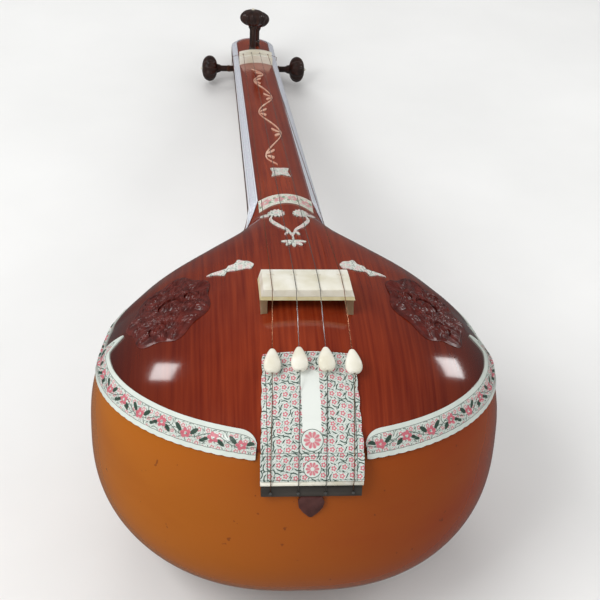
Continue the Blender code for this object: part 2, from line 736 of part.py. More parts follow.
def make_heart():
    """Two flowers on stems that meet over a hanging one."""
    shapes = []
    for side in (-1, 1):
        stem = []
        for t in np.linspace(0, 1, 7):
            x = side * HEART_LOBE_X * (1 - t**2)
            stem.append((x, lerp(HEART_Y - 0.004, HEART_STEM_Y - 0.004, t**0.9)))
        shapes.append(ribbon(stem, 0.0036))
        shapes.append(ellipse(side * HEART_LOBE_X, HEART_Y, 0.0085, 0.0115, 0.0, 10))
    drop = [(0, HEART_STEM_Y + 0.004), (0, (HEART_STEM_Y + HEART_FLOWER_Y) / 2), (0, HEART_FLOWER_Y - 0.003)]
    shapes.append(ribbon(drop, 0.0040))
    shapes.append(ellipse(0, HEART_FLOWER_Y, 0.0080, 0.0095, 0.0, 10))
    rows = rows_over(board_rows(), HEART_FLOWER_Y - 0.012, HEART_Y + 0.013)
    return inlay("heart_inlay", shapes, rows)


def make_bird(name, side):
    """A long-tailed bird, its head towards the middle of the board."""
    outline = []
    for t, w in ((-1.0, 0.0), (-0.6, -0.10), (-0.25, -0.16), (0.15, -0.24), (0.5, -0.28), (0.85, -0.22),
                 (1.0, 0.02), (0.85, 0.24), (0.6, 0.34), (0.3, 0.22), (0.0, 0.10), (-0.5, 0.08)):
        x, y = t * BIRD_LENGTH / 2, w * BIRD_LENGTH / 2
        turn = -BIRD_TURN
        outline.append((x * math.cos(turn) + y * math.sin(turn), -x * math.sin(turn) + y * math.cos(turn)))
    placed = [(-side * px + side * BIRD_X, py + BIRD_Y) for px, py in outline]
    return inlay(name, [placed], rows_over(board_rows(), BIRD_Y - 0.05, BIRD_Y + 0.05))


def make_carving(name, side):
    """The slab of raised leaves on the shoulder; its carving is finished on its surface."""
    outline = []
    for angle in np.arange(20) * 2 * math.pi / 20:
        lobe = 1 + 0.06 * math.cos(7 * angle)
        x = CARVING_WIDTH / 2 * lobe * math.cos(angle)
        y = CARVING_LENGTH / 2 * lobe * math.sin(angle)
        outline.append((x, y))
    placed = [(side * (px + CARVING_X), py + CARVING_Y) for px, py in outline]
    reach = CARVING_LENGTH / 2 + 0.02
    rows = rows_over(board_rows(), CARVING_Y - reach, CARVING_Y + reach)
    return inlay(name, [placed], rows, "carving", CARVING_THICKNESS)


def rim_flange(y):
    """How far the rim band reaches in over the soundboard at y."""
    stations = (
        (RIM_TIP_Y - 0.045, RIM_BAND_FLANGE),
        (RIM_TIP_Y - 0.012, RIM_BAND_FLANGE * 1.2),
        (RIM_TIP_Y, RIM_TIP_REACH),
        (RIM_TIP_Y + 0.012, RIM_STRIP_FLANGE * 1.5),
        (RIM_TIP_Y + 0.03, RIM_STRIP_FLANGE),
    )
    return smooth(y, stations)


def rim_band(name, side, gourd_cutter, board_cutter):
    """A band over the soundboard's edge: a flange on the board and a skirt down outside the rim."""
    start = PLATE_HALF_WIDTH + SCALLOP_DEPTH + 0.002
    first = RIM_CENTRE_Y - RIM_TO_TAIL * math.sqrt(1 - (start / RIM_HALF_WIDTH) ** 2)
    rows = [y for y in board_rows() if first < y <= RIM_STRIP_END_Y]
    rows.append(rows[-1] + 0.6 * (RIM_STRIP_END_Y - rows[-1]) + 1e-4)
    loops = []
    for y in [first, *rows]:
        half = half_width(y)
        ahead, behind = half_width(y + 1e-4), half_width(y - 1e-4)
        way = Vector(((ahead - behind), 2e-4, 0)).normalized()
        out = Vector((way.y, -way.x, 0))
        edge = Vector((half, y, edge_z(y)))
        flange = rim_flange(y)
        inner = edge - out * flange
        inner.z = face_z(inner.x, inner.y)
        middle = edge - out * flange / 2
        middle.z = face_z(middle.x, middle.y)
        lift, wall = Vector((0, 0, 0.0006)), Vector((0, 0, BAND_THICKNESS))
        down = out * RIM_BAND_FLARE + Vector((0, 0, -RIM_BAND_SKIRT))
        near, far = out * 2 * GAP, out * (2 * GAP + BAND_THICKNESS)
        loop = [
            inner + lift, middle + lift, edge + near + lift, edge + near + down,
            edge + far + down, edge + far + lift + wall * 0.6, middle + lift + wall, inner + lift + wall,
        ]
        loops.append(np.array([(side * p.x, p.y, p.z) for p in loop]))
    band = smooth_shaded(adopt(loft(name, loops), "inlay"))
    return boolean(boolean(band, gourd_cutter), board_cutter)


def make_head_band():
    """The band that goes round the end of the head."""
    rows = [y for y in neck_rows() if y > NUT_Y + 1e-6]
    inner = column_share(BAND_COLUMN)
    width = NUT_HALF_WIDTH * (1 - inner)
    outline = [(-NUT_HALF_WIDTH * inner, NUT_Y - 0.02), (NUT_HALF_WIDTH * inner, NUT_Y - 0.02)]
    centre = HEAD_END_Y - HEAD_ROUNDING
    for i in range(13):
        angle = math.pi * i / 12
        outline.append(
            (NUT_HALF_WIDTH * inner * math.cos(angle), centre + (HEAD_ROUNDING - width) * math.sin(angle))
        )
    return inlay("head_band", [outline], rows, "inlay", BAND_THICKNESS, cut_from=True)


def arched_bar(name, y, length, height, finish):
    """A bar across the face between the side bands, with its top arched like the face."""
    shares = [column_share(k) for k in range(-BAND_COLUMN, BAND_COLUMN + 1)]
    shares[0] *= 0.985
    shares[-1] *= 0.985
    rows = [y, y + length]
    top = face_grid(rows, shares, height)
    bottom = face_grid(rows, shares, GAP)
    return smooth_shaded(adopt(layer(name, top, bottom), finish))


def nut_string_x(i):
    return string_offset(i) * NUT_SPACING


def bridge_string_x(i):
    return BRIDGE_X + string_offset(i) * BRIDGE_SPACING


def bead_string_x(i):
    return BRIDGE_X + string_offset(i) * TAIL_SPACING


def tail_string_x(i):
    return string_offset(i) * TAIL_SPACING


def guide_hole(i):
    y = NUT_Y + GUIDE_SETBACK + GUIDE_LENGTH / 2
    x = nut_string_x(i)
    return Vector((x, y, face_z(x, y) + GUIDE_HOLE_HEIGHT))


def make_nut_and_guide():
    arched_bar("nut", NUT_Y, NUT_LENGTH, NUT_HEIGHT, "bone")
    guide = arched_bar("string_guide", NUT_Y + GUIDE_SETBACK, GUIDE_LENGTH, GUIDE_HEIGHT, "bone")
    for i in string_index():
        hole = guide_hole(i)
        reach = Vector((0, GUIDE_LENGTH, 0))
        cutter = helper(cylinder(f"guide_hole_cutter_{i}", hole - reach, hole + reach, GUIDE_HOLE_RADIUS, 12))
        boolean(guide, cutter)


def bridge_seat_z():
    """Height of the underside of the bridge's base: its feet reach down from here."""
    return face_z(0, BRIDGE_FRONT_Y) + BRIDGE_FOOT_HEIGHT


def bridge_half(z):
    """Half the bridge's width at height z above its seat: its ends lean in."""
    thick = BRIDGE_BASE_THICKNESS + BRIDGE_PLATE_THICKNESS
    return lerp(BRIDGE_HALF_WIDTH, BRIDGE_TOP_HALF_WIDTH, min(1.0, max(0.0, z / thick)))


def bridge_top_z(y):
    """Height of the bridge's top, which is gently rounded from front to back."""
    top = bridge_seat_z() + BRIDGE_BASE_THICKNESS + GAP + BRIDGE_PLATE_THICKNESS
    share = (y - BRIDGE_FRONT_Y) / BRIDGE_DEPTH * 2 - 1
    return top - BRIDGE_PLATE_CROWN * share**2


def make_bridge(board_cutter):
    seat = bridge_seat_z()
    base_top = seat + BRIDGE_BASE_THICKNESS
    back = BRIDGE_FRONT_Y + BRIDGE_DEPTH

    def ring(z, inset=0.0):
        half = bridge_half(z - seat) - inset
        return np.array([
            (BRIDGE_X - half, BRIDGE_FRONT_Y, z), (BRIDGE_X + half, BRIDGE_FRONT_Y, z),
            (BRIDGE_X + half, back, z), (BRIDGE_X - half, back, z),
        ])

    base = adopt(loft("bridge_base", [ring(seat), ring(base_top)]), "bone")
    for side in (-1, 1):
        outer = BRIDGE_X + side * (BRIDGE_HALF_WIDTH - 0.0012)
        inner = outer - side * BRIDGE_FOOT_WIDTH
        low, high = min(inner, outer), max(inner, outer)
        sole = seat - 2 * BRIDGE_FOOT_HEIGHT
        foot = box(f"bridge_foot_{side + 1}", (low, BRIDGE_FRONT_Y + 0.001, sole), (high, back - 0.001, seat + 0.002))
        boolean(base, helper(foot), "UNION")
    boolean(base, board_cutter)
    tops, bottoms = [], []
    for y in np.linspace(BRIDGE_FRONT_Y, back, 9):
        top = bridge_top_z(y)
        across = np.linspace(-1, 1, 2)
        tops.append([(BRIDGE_X + u * BRIDGE_TOP_HALF_WIDTH, y, top) for u in across])
        bottoms.append([(BRIDGE_X + u * bridge_half(base_top - seat), y, base_top + GAP) for u in across])
    adopt(layer("bridge_plate", np.array(tops), np.array(bottoms)), "bone")


def make_threads():
    """A short thread under each string on the bridge, which brings out its overtones."""
    for i in string_index():
        y = BRIDGE_FRONT_Y + THREAD_SETBACK
        z = bridge_top_z(y) + GAP + THREAD_RADIUS
        half = Vector((THREAD_LENGTH / 2, 0, 0))
        middle = Vector((bridge_string_x(i), y, z))
        adopt(cylinder(f"bridge_thread_{i + 1}", middle - half, middle + half, THREAD_RADIUS, 8), "thread")


def plate_half(share):
    """Half the tail plate's width, from its top edge (0) to its crease (1), with scalloped sides."""
    wave = SCALLOP_DEPTH * abs(math.sin(math.pi * SCALLOPS * share))
    return lerp(PLATE_TOP_HALF_WIDTH, PLATE_HALF_WIDTH, share) - SCALLOP_DEPTH + wave


def plate_under(x, y):
    """Underside of the upper part of the tail plate: on the board, then out to the crease."""
    if y >= PLATE_BEND_Y:
        return face_z(x, y) + GAP
    share = along(y, PLATE_BEND_Y, CREASE_Y)
    crease = CREASE_Z - PLATE_THICKNESS
    bow = 0.0025 * 4 * share * (1 - share)
    return lerp(face_z(x, PLATE_BEND_Y) + GAP, crease, share) + bow


def plate_ys():
    """Rows of the plate: those of the soundboard, where it lies on it, then down to the crease."""
    on_board = [y for y in reversed(board_rows()) if PLATE_BEND_Y < y < PLATE_TOP_Y]
    rows = [PLATE_TOP_Y]
    for y in on_board + [PLATE_BEND_Y]:
        middle = (rows[-1] + y) / 2
        rows += [middle, y]
    rows += [float(y) for y in np.linspace(PLATE_BEND_Y, CREASE_Y, 7)[1:]]
    return rows


def panel_face(drop):
    """A point on the front of the plate's lower panel, at a drop below the crease."""
    share = drop / PANEL_HEIGHT
    return Vector((0, CREASE_Y - PANEL_LEAN * share, CREASE_Z - drop))


def make_tail_plate():
    tops, bottoms = [], []
    across = np.linspace(-1, 1, 9)
    rows = plate_ys()
    for y in rows:
        half = plate_half(along(y, PLATE_TOP_Y, CREASE_Y))
        tops.append([(u * half, y, plate_under(u * half, y) + PLATE_THICKNESS) for u in across])
        bottoms.append([(u * half, y, plate_under(u * half, y) + 0.0001) for u in across])
    inside = PLATE_THICKNESS
    bottoms[-1] = [(u * PLATE_HALF_WIDTH, CREASE_Y + inside * 0.8, CREASE_Z - inside) for u in across]
    tops[-1] = [(u * PLATE_HALF_WIDTH, CREASE_Y, CREASE_Z) for u in across]
    for drop in (PANEL_HEIGHT * 0.5, PANEL_HEIGHT):
        front = panel_face(drop)
        tops.append([(u * PLATE_HALF_WIDTH, front.y, front.z) for u in across])
        bottoms.append([(u * PLATE_HALF_WIDTH, front.y + inside, front.z) for u in across])
    plate = layer("tail_plate", np.array(tops), np.array(bottoms))
    smooth_shaded(adopt(plate, "inlay"))


def saddle_centre():
    low = panel_face(PANEL_HEIGHT)
    return Vector((0, low.y + SADDLE_RADIUS, low.z - GAP - SADDLE_RADIUS))


def block_front_y():
    """The front of the tail block, behind the panel and the saddle."""
    return panel_face(PANEL_HEIGHT).y + PLATE_THICKNESS + GAP


def block_low_z():
    return saddle_centre().z - SADDLE_RADIUS - BLOCK_DROP


def outside_gourd(name):
    """The whole round gourd, a gap larger, to cut what lies on it."""
    swell = -GAP * 1.5
    ys = [
        GOURD_CENTRE_Y - (GOURD_HALF_LENGTH - swell) * math.cos(math.pi * i / (2 * GOURD_RINGS))
        for i in range(2 * GOURD_RINGS + 1)
    ]
    return helper(loft(name, [gourd_loop(y, swell) for y in ys]))


def make_tail_block(gourd_cutter):
    """The dark bar on the gourd behind the plate's lower panel and the saddle."""
    saddle = saddle_centre()
    behind = saddle.y + SADDLE_RADIUS + GAP
    above, below = saddle.z + SADDLE_RADIUS + GAP, saddle.z - SADDLE_RADIUS - GAP
    visible_front = saddle.y - SADDLE_RADIUS * 0.4
    top = edge_z(TAIL_Y) - BOARD_THICKNESS - 2 * GAP
    back = TAIL_Y + 0.006
    low = block_low_z()
    side = [
        (CREASE_Y + PLATE_THICKNESS * 1.1, top), (back, top), (back, low), (visible_front, low),
        (visible_front, below), (behind, below), (behind, above), (block_front_y(), above),
    ]
    half = PLATE_HALF_WIDTH - SCALLOP_DEPTH
    loops = [np.array([(x, y, z) for y, z in side]) for x in (-half, half)]
    boolean(adopt(loft("tail_block", loops), "ebony"), gourd_cutter)
    reach = Vector((half + 0.001, 0, 0))
    smooth_shaded(adopt(cylinder("tail_saddle", saddle - reach, saddle + reach, SADDLE_RADIUS, 16), "bone"))
    return visible_front


def make_tail_end(front, gourd_cutter):
    """The rounded point below the tail block, lying on the gourd."""
    top = block_low_z() - GAP
    outline = []
    for t, w in ((0.0, 0.80), (0.25, 1.0), (0.5, 0.92), (0.75, 0.60), (1.0, 0.10)):
        outline.append((w * TAIL_END_HALF_WIDTH, top - t * TAIL_END_DROP))
    outline = outline + [(-x, z) for x, z in reversed(outline)]
    slope = 0.10
    loops = []
    for y in (front - 0.0015, front + 0.030):
        loops.append(np.array([(x, y + slope * (top - z), z) for x, z in outline]))
    end = adopt(loft("tail_end", loops), "dark_wood")
    boolean(end, gourd_cutter)
    return end


def pin_place(i, front):
    return Vector((tail_string_x(i), front, (saddle_centre().z - SADDLE_RADIUS + block_low_z()) / 2 - 0.001))


def make_pins(front):
    for i in string_index():
        place = pin_place(i, front)
        near = place - Vector((0, GAP, 0))
        far = near - Vector((0, PIN_LENGTH, 0))
        adopt(cylinder(f"hitch_pin_{i + 1}", far, near, PIN_RADIUS, 12), "wire")


def plate_surface(x, y):
    """A point on the outside of the tail plate's upper part, and the way it faces."""
    here = Vector((x, y, plate_under(x, y) + PLATE_THICKNESS))
    step = 0.001
    ahead = plate_under(x, y + step) + PLATE_THICKNESS
    slope = (ahead - here.z) / step
    return here, Vector((0, -slope, 1)).normalized()


def bead_line(i):
    """Middle of a bead, and the way its string runs from it up to the bridge."""
    x = bead_string_x(i)
    edge = Vector((bridge_string_x(i), BRIDGE_FRONT_Y, bridge_top_z(BRIDGE_FRONT_Y) + STRING_RADIUS + STRING_GAP))
    surface, up = plate_surface(x, PLATE_TOP_Y - BEAD_LENGTH * 0.42)
    middle = surface + up * (BEAD_THICKNESS / 2 + 0.0010)
    return middle, (edge - middle).normalized(), edge


def make_bead(i):
    """A teardrop that slides on its string, pointed towards the bridge."""
    profile = []
    for t in np.linspace(0, 1, 9):
        swell = math.sin(math.pi * t**0.62) ** 0.8 if 0 < t < 1 else 0.0
        profile.append((BEAD_BORE_RADIUS + 0.0006 + (BEAD_WIDTH / 2 - BEAD_BORE_RADIUS - 0.0006) * swell,
                        BEAD_LENGTH * (0.5 - t)))
    profile += [(BEAD_BORE_RADIUS, profile[-1][1]), (BEAD_BORE_RADIUS, profile[0][1]), profile[0]]
    return turned(f"tuning_bead_{i + 1}", profile, 16)


def place_beads():
    for i in string_index():
        middle, way, edge = bead_line(i)
        bead = adopt(make_bead(i), "bone")
        bead.rotation_mode = "QUATERNION"
        across = Vector((1, 0, 0))
        normal = way.cross(across).normalized() * -1
        across = normal.cross(way).normalized() * -1
        turn = Matrix((across, normal, way)).transposed()
        if turn.determinant() < 0:
            turn = Matrix((-across, normal, way)).transposed()
        bead.location = middle
        bead.rotation_quaternion = turn.to_quaternion()
        bead.scale = (1.0, BEAD_THICKNESS / BEAD_WIDTH, 1.0)


def peg_profile(inner, standoff):
    """Shaft, collar and flattened knob of a peg, top to bottom, from its knob to its inner end."""
    top = standoff + KNOB_THICKNESS / 2
    low = standoff - KNOB_THICKNESS / 2
    profile = [(0.0, top)]
    for angle in np.linspace(math.pi / 2, -math.pi / 2, 9)[1:-1]:
        r = KNOB_RADIUS * math.cos(angle) ** 0.75
        z = standoff + KNOB_THICKNESS / 2 * math.sin(angle)
        profile.append((r, z))
    profile += [
        (PEG_SHAFT_RADIUS * 1.35, low), (PEG_SHAFT_RADIUS * 1.35, low - 0.003),
        (PEG_SHAFT_RADIUS, low - 0.006), (PEG_SHAFT_RADIUS, -inner), (0.0, -inner),
    ]
    return profile


def side_peg_place(side):
    z = edge_z(SIDE_PEG_Y) - SIDE_PEG_DROP
    half, middle, rise, fall, power = hull_section(SIDE_PEG_Y)
    down = (middle - z) / fall
    wall = half * (1 - down**power) ** (1 / power)
    return Vector((side * wall, SIDE_PEG_Y, z)), Vector((side, 0, 0))


def front_peg_place(number):
    x, y = FRONT_PEGS[number]
    return Vector((x, y, face_z(x, y))), Vector((0, 0, 1))


def peg_places():
    """Name, place of the axis at the wood, way out, standoff and depth inside of each peg, by string."""
    left, left_way = side_peg_place(-1)
    right, right_way = side_peg_place(1)
    near, up = front_peg_place(0)
    far, up = front_peg_place(1)
    floors = []
    for place in (near, far):
        half, middle, rise, fall, power = hull_section(place.y)
        floors.append(place.z - (middle - fall) - NECK_WALL + SOCKET_DEPTH)
    return [
        ("side_peg_left", left, left_way, SIDE_STANDOFF, -left.x - SIDE_SHAFT_END),
        ("front_peg_near", near, up, FRONT_STANDOFFS[0], floors[0]),
        ("front_peg_far", far, up, FRONT_STANDOFFS[1], floors[1]),
        ("side_peg_right", right, right_way, SIDE_STANDOFF, right.x - SIDE_SHAFT_END),
    ]


def peg_matrix(place, way):
    """The peg's frame in the instrument's: local Z along the peg, out of the wood."""
    return Matrix.Translation(place) @ way.to_track_quat("Z", "Y").to_matrix().to_4x4()


def winding_tangent(i, matrix):
    """Where string i first meets its peg's coil, in the peg's frame: angle, way to the guide, sense of turn."""
    start = matrix.inverted() @ string_corner(i)
    radius = PEG_SHAFT_RADIUS + GAP + STRING_RADIUS
    flat = Vector((start.x, start.y))
    sense = -1 if i in (0, 1) else 1
    angle = math.atan2(flat.y, flat.x) + sense * math.acos(min(1.0, radius / flat.length))
    touch = Vector((radius * math.cos(angle), radius * math.sin(angle), WINDING_START))
    return angle, touch, (start - touch).normalized(), sense


def string_corner(i):
    """The last place where string i bends before its peg."""
    hole = guide_hole(i)
    if 0 < i < STRING_COUNT - 1:
        return hole + Vector((0, GUIDE_LENGTH / 2 + 0.001, 0))
    side = -1 if i == 0 else 1
    y = lerp(hole.y, SIDE_PEG_Y, 0.55)
    x = side * (half_width(y) + 0.0016)
    return Vector((x, y, edge_z(y) + BAND_THICKNESS + 0.0020))


def make_pegs(neck, face):
    for i, (name, place, way, standoff, inner) in enumerate(peg_places()):
        matrix = peg_matrix(place, way)
        peg = adopt(turned(name, peg_profile(inner, standoff)), "dark_wood")
        peg.matrix_local = matrix
        hole_radius = PEG_SHAFT_RADIUS + PEG_CLEARANCE
        reach_out = 0.02
        hole = cylinder(f"{name}_hole_cutter", place - way * (inner + GAP), place + way * reach_out, hole_radius)
        boolean(neck, helper(hole))
        if i in (1, 2):
            boolean(face, hole)
        button = turned(
            f"peg_button_{i + 1}",
            [(0.0, BUTTON_LENGTH), (BUTTON_RADIUS * 0.7, BUTTON_LENGTH * 0.8), (BUTTON_RADIUS, 0.0), (0.0, 0.0)],
            12,
        )
        adopt(button, "bone")
        button.matrix_local = matrix @ Matrix.Translation((0, 0, standoff + KNOB_THICKNESS / 2 + GAP))
        make_winding(i, matrix)


def make_winding(i, matrix):
    """The turns of one string round its peg: one unbroken coil beside the place where the string meets the shaft."""
    angle, touch, to_guide, sense = winding_tangent(i, matrix)
    radius = PEG_SHAFT_RADIUS + GAP + STRING_RADIUS
    points = []
    for step in range(WINDING_TURNS * POINTS_PER_TURN + 1):
        turn = angle + sense * 2 * math.pi * step / POINTS_PER_TURN
        z = WINDING_START + COIL_SETBACK + WINDING_PITCH * step / POINTS_PER_TURN
        points.append(Vector((radius * math.cos(turn), radius * math.sin(turn), z)))
    least = least_gap_to_itself(points, STRING_RADIUS)
    print(f"string_winding_{i + 1}: least gap to itself {least * 1000:.2f} mm")
    coil = adopt(tube(f"string_winding_{i + 1}", points, STRING_RADIUS, 1), "wire")
    coil.matrix_local = matrix


def least_gap_to_itself(points, radius):
    """Least distance between places on the coil more than half a turn apart, less the wire."""
    places = np.array([tuple(p) for p in points])
    apart = POINTS_PER_TURN // 2
    gaps = [
        np.linalg.norm(places[n + apart:] - place, axis=1).min()
        for n, place in enumerate(places[:-apart])
    ]
    return min(gaps) - 2 * radius


def string_route(i, front):
    """Points of string i, from its pin over the tail, through its bead, over the bridge and nut to its peg."""
    lift = STRING_RADIUS + STRING_GAP
    tail_x, bead_x = tail_string_x(i), bead_string_x(i)
    saddle = saddle_centre()
    reach = SADDLE_RADIUS + lift
    points = [pin_place(i, front) + Vector((0, -PIN_LENGTH / 2 - GAP, PIN_RADIUS + STRING_RADIUS + GAP))]
    for degrees in (225, 180):
        turn = math.radians(degrees)
        points.append(Vector((tail_x, saddle.y + reach * math.cos(turn), saddle.z + reach * math.sin(turn))))
    off_panel = Vector((tail_x, -lift * 1.3, 0))
    points.append(panel_face(PANEL_HEIGHT - 0.001) + off_panel)
    points.append(panel_face(0.0) + off_panel + Vector((0, 0, lift * 0.6)))
    surface, up = plate_surface(tail_x, CREASE_Y + 0.0015)
    points.append(surface + up * lift * 1.8)
    middle, way, edge = bead_line(i)
    below = middle - way * (BEAD_LENGTH / 2 + 0.004)
    rows = [y for y in reversed(plate_ys()) if CREASE_Y + 0.004 < y < below.y - 0.006]
    for y in rows:
        share = along(y, CREASE_Y, below.y)
        x = lerp(tail_x, bead_x, share)
        surface, up = plate_surface(x, y)
        points.append(surface + up * lift * 1.3)
    points.append(below)
    points.append(edge + Vector((0, -0.0004, 0.0002)))
    rest_y = BRIDGE_FRONT_Y + THREAD_SETBACK
    clear = GAP + 2 * THREAD_RADIUS + GAP + STRING_RADIUS
    points.append(Vector((bridge_string_x(i), BRIDGE_FRONT_Y + 0.006, bridge_top_z(BRIDGE_FRONT_Y + 0.006) + lift)))
    points.append(Vector((bridge_string_x(i), rest_y, bridge_top_z(rest_y) + clear)))
    x = nut_string_x(i)
    for y in (NUT_Y, NUT_Y + NUT_LENGTH):
        points.append(Vector((x, y, face_z(x, y) + NUT_HEIGHT + lift)))
    hole = guide_hole(i)
    half = Vector((0, GUIDE_LENGTH / 2 + 0.001, 0))
    points += [hole - half, hole + half]
    name, place, out, standoff, inner = peg_places()[i]
    matrix = peg_matrix(place, out)
    angle, touch, to_guide, sense = winding_tangent(i, matrix)
    if i in (0, STRING_COUNT - 1):
        points.append(string_corner(i))
    points.append(matrix @ touch)
    return points


def make_strings(front):
    for i in string_index():
        adopt(tube(f"string_{i + 1}", string_route(i, front), STRING_RADIUS, 2), "wire")


def centre_on_origin():
    """Moves the instrument so that the middle of its footprint's box is the world's origin."""
    bpy.context.view_layer.update()
    graph = bpy.context.evaluated_depsgraph_get()
    lows, highs = [], []
    for obj in [piece for piece in PARTS.objects if piece.type != "EMPTY"]:
        corners = obj.evaluated_get(graph)
        mesh = corners.to_mesh()
        places = np.empty(len(mesh.vertices) * 3, np.float32)
        mesh.vertices.foreach_get("co", places)
        world = np.array(obj.matrix_world)
        places = places.reshape(-1, 3) @ world[:3, :3].T + world[:3, 3]
        corners.to_mesh_clear()
        lows.append(places.min(0))
        highs.append(places.max(0))
    low, high = np.min(lows, 0), np.max(highs, 0)
    FRAME.location.x -= (low[0] + high[0]) / 2
    FRAME.location.y -= (low[1] + high[1]) / 2
    FRAME.location.z -= low[2]
    bpy.context.view_layer.update()


def make_tanpura():
    face_cutter = under_face_cutter()
    floor = floor_cutter()
    mouth = mouth_cutter()
    make_gourd(face_cutter, floor, mouth)
    make_collar(face_cutter, floor, mouth)
    neck = make_neck(face_cutter, floor)
    make_tenon(face_cutter)
    board, face = make_faces()
    gourd_cutter = outside_gourd("gourd_seat_cutter")
    board_cutter = helper(face_layer("board_seat_cutter", board_rows(), -0.05, GAP))
    for side, word in ((-1, "left"), (1, "right")):
        rim_band(f"rim_band_{word}", side, gourd_cutter, board_cutter)
        side_band(f"side_band_{word}", side)
        make_bird(f"bird_inlay_{word}", side)
        make_carving(f"shoulder_carving_{word}", side)
    make_head_band()
    low = CROSS_BAND_END_Y - CROSS_BAND_LENGTH
    half = JOINT_HALF_WIDTH * column_share(BAND_COLUMN) * 0.98
    cross = [(-half, low), (half, low), (half, CROSS_BAND_END_Y), (-half, CROSS_BAND_END_Y)]
    inlay("cross_band", [cross], rows_over(board_rows(), low, CROSS_BAND_END_Y))
    make_heart()
    make_plaque()
    make_vine()
    make_nut_and_guide()
    make_bridge(board_cutter)
    make_threads()
    make_tail_plate()
    front = make_tail_block(gourd_cutter)
    make_tail_end(front, gourd_cutter)
    make_pins(front)
    place_beads()
    make_pegs(neck, face)
    make_strings(front)
    FRAME.rotation_euler.x = -TILT
    centre_on_origin()


for leftover in list(bpy.data.objects):
    bpy.data.objects.remove(leftover, do_unlink=True)
PARTS = collection("tanpura")
CUTTERS = collection("cutters")
TILT, FLOOR = resting_tilt()
FRAME = bpy.data.objects.new("instrument_frame", None)
PARTS.objects.link(FRAME)
make_tanpura()
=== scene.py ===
"""A four-string tanpura lying on its gourd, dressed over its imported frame.

Shapes are worked out in the instrument's own frame, in metres: X across, Y from the gourd's tail to
the head, Z out of the gourd's rim. Instrument.world tips them onto the floor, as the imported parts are.
"""

import json
import logging
import math
from dataclasses import dataclass
from enum import Enum
from typing import Sequence

import bmesh
import bpy
import numpy as np
from mathutils import Matrix, Vector


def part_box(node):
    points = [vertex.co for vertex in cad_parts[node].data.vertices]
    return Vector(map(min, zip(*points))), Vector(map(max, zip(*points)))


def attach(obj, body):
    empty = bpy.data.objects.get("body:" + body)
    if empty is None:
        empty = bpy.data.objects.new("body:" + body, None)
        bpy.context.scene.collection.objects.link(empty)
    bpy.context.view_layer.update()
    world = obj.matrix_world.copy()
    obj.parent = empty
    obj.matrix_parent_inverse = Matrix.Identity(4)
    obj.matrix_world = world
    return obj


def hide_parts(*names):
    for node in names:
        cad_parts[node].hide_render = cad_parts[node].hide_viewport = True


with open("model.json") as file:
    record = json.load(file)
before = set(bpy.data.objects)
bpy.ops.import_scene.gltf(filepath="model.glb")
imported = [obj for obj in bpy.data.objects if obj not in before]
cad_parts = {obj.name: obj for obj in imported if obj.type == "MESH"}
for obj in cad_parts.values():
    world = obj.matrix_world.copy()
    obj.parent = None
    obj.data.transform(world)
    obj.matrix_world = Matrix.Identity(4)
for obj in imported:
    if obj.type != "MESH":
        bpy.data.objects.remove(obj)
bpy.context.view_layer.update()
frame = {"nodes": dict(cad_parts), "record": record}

LOG = logging.getLogger("tanpura")
Colour = tuple[float, float, float]
Stations = Sequence[tuple[float, float]]
GAP = 0.0003


def srgb(red: int, green: int, blue: int) -> Colour:
    """Linear colour of an 8-bit sRGB one."""
    return tuple((v / 255 / 12.92) if v <= 10 else ((v / 255 + 0.055) / 1.055) ** 2.4 for v in (red, green, blue))


def smooth(values: np.ndarray | float, stations: Stations) -> np.ndarray:
    """A monotone cubic through stations, held level past both ends.

    Each inner tangent is the weighted harmonic mean of the slopes on both sides, or 0 at a turn.

    Args:
        values: places to evaluate.
        stations: (place, value) pairs in rising order of place.

    Returns:
        The value at each place.
    """
    xs = np.array([s[0] for s in stations], float)
    ys = np.array([s[1] for s in stations], float)
    steps = np.diff(xs)
    slopes = np.diff(ys) / steps
    w1, w2 = 2 * steps[1:] + steps[:-1], steps[1:] + 2 * steps[:-1]
    same = slopes[:-1] * slopes[1:] > 0
    low, high = np.where(same, slopes[:-1], 1.0), np.where(same, slopes[1:], 1.0)
    inner = np.where(same, (w1 + w2) / (w1 / low + w2 / high), 0.0)
    tangents = np.concatenate([slopes[:1], inner, slopes[-1:]])
    x = np.clip(np.asarray(values, float), xs[0], xs[-1])
    i = np.clip(np.searchsorted(xs, x, side="right") - 1, 0, len(xs) - 2)
    t = (x - xs[i]) / steps[i]
    return (
        ys[i] * (2 * t**3 - 3 * t**2 + 1)
        + ys[i + 1] * (3 * t**2 - 2 * t**3)
        + tangents[i] * steps[i] * (t**3 - 2 * t**2 + t)
        + tangents[i + 1] * steps[i] * (t**3 - t**2)
    )


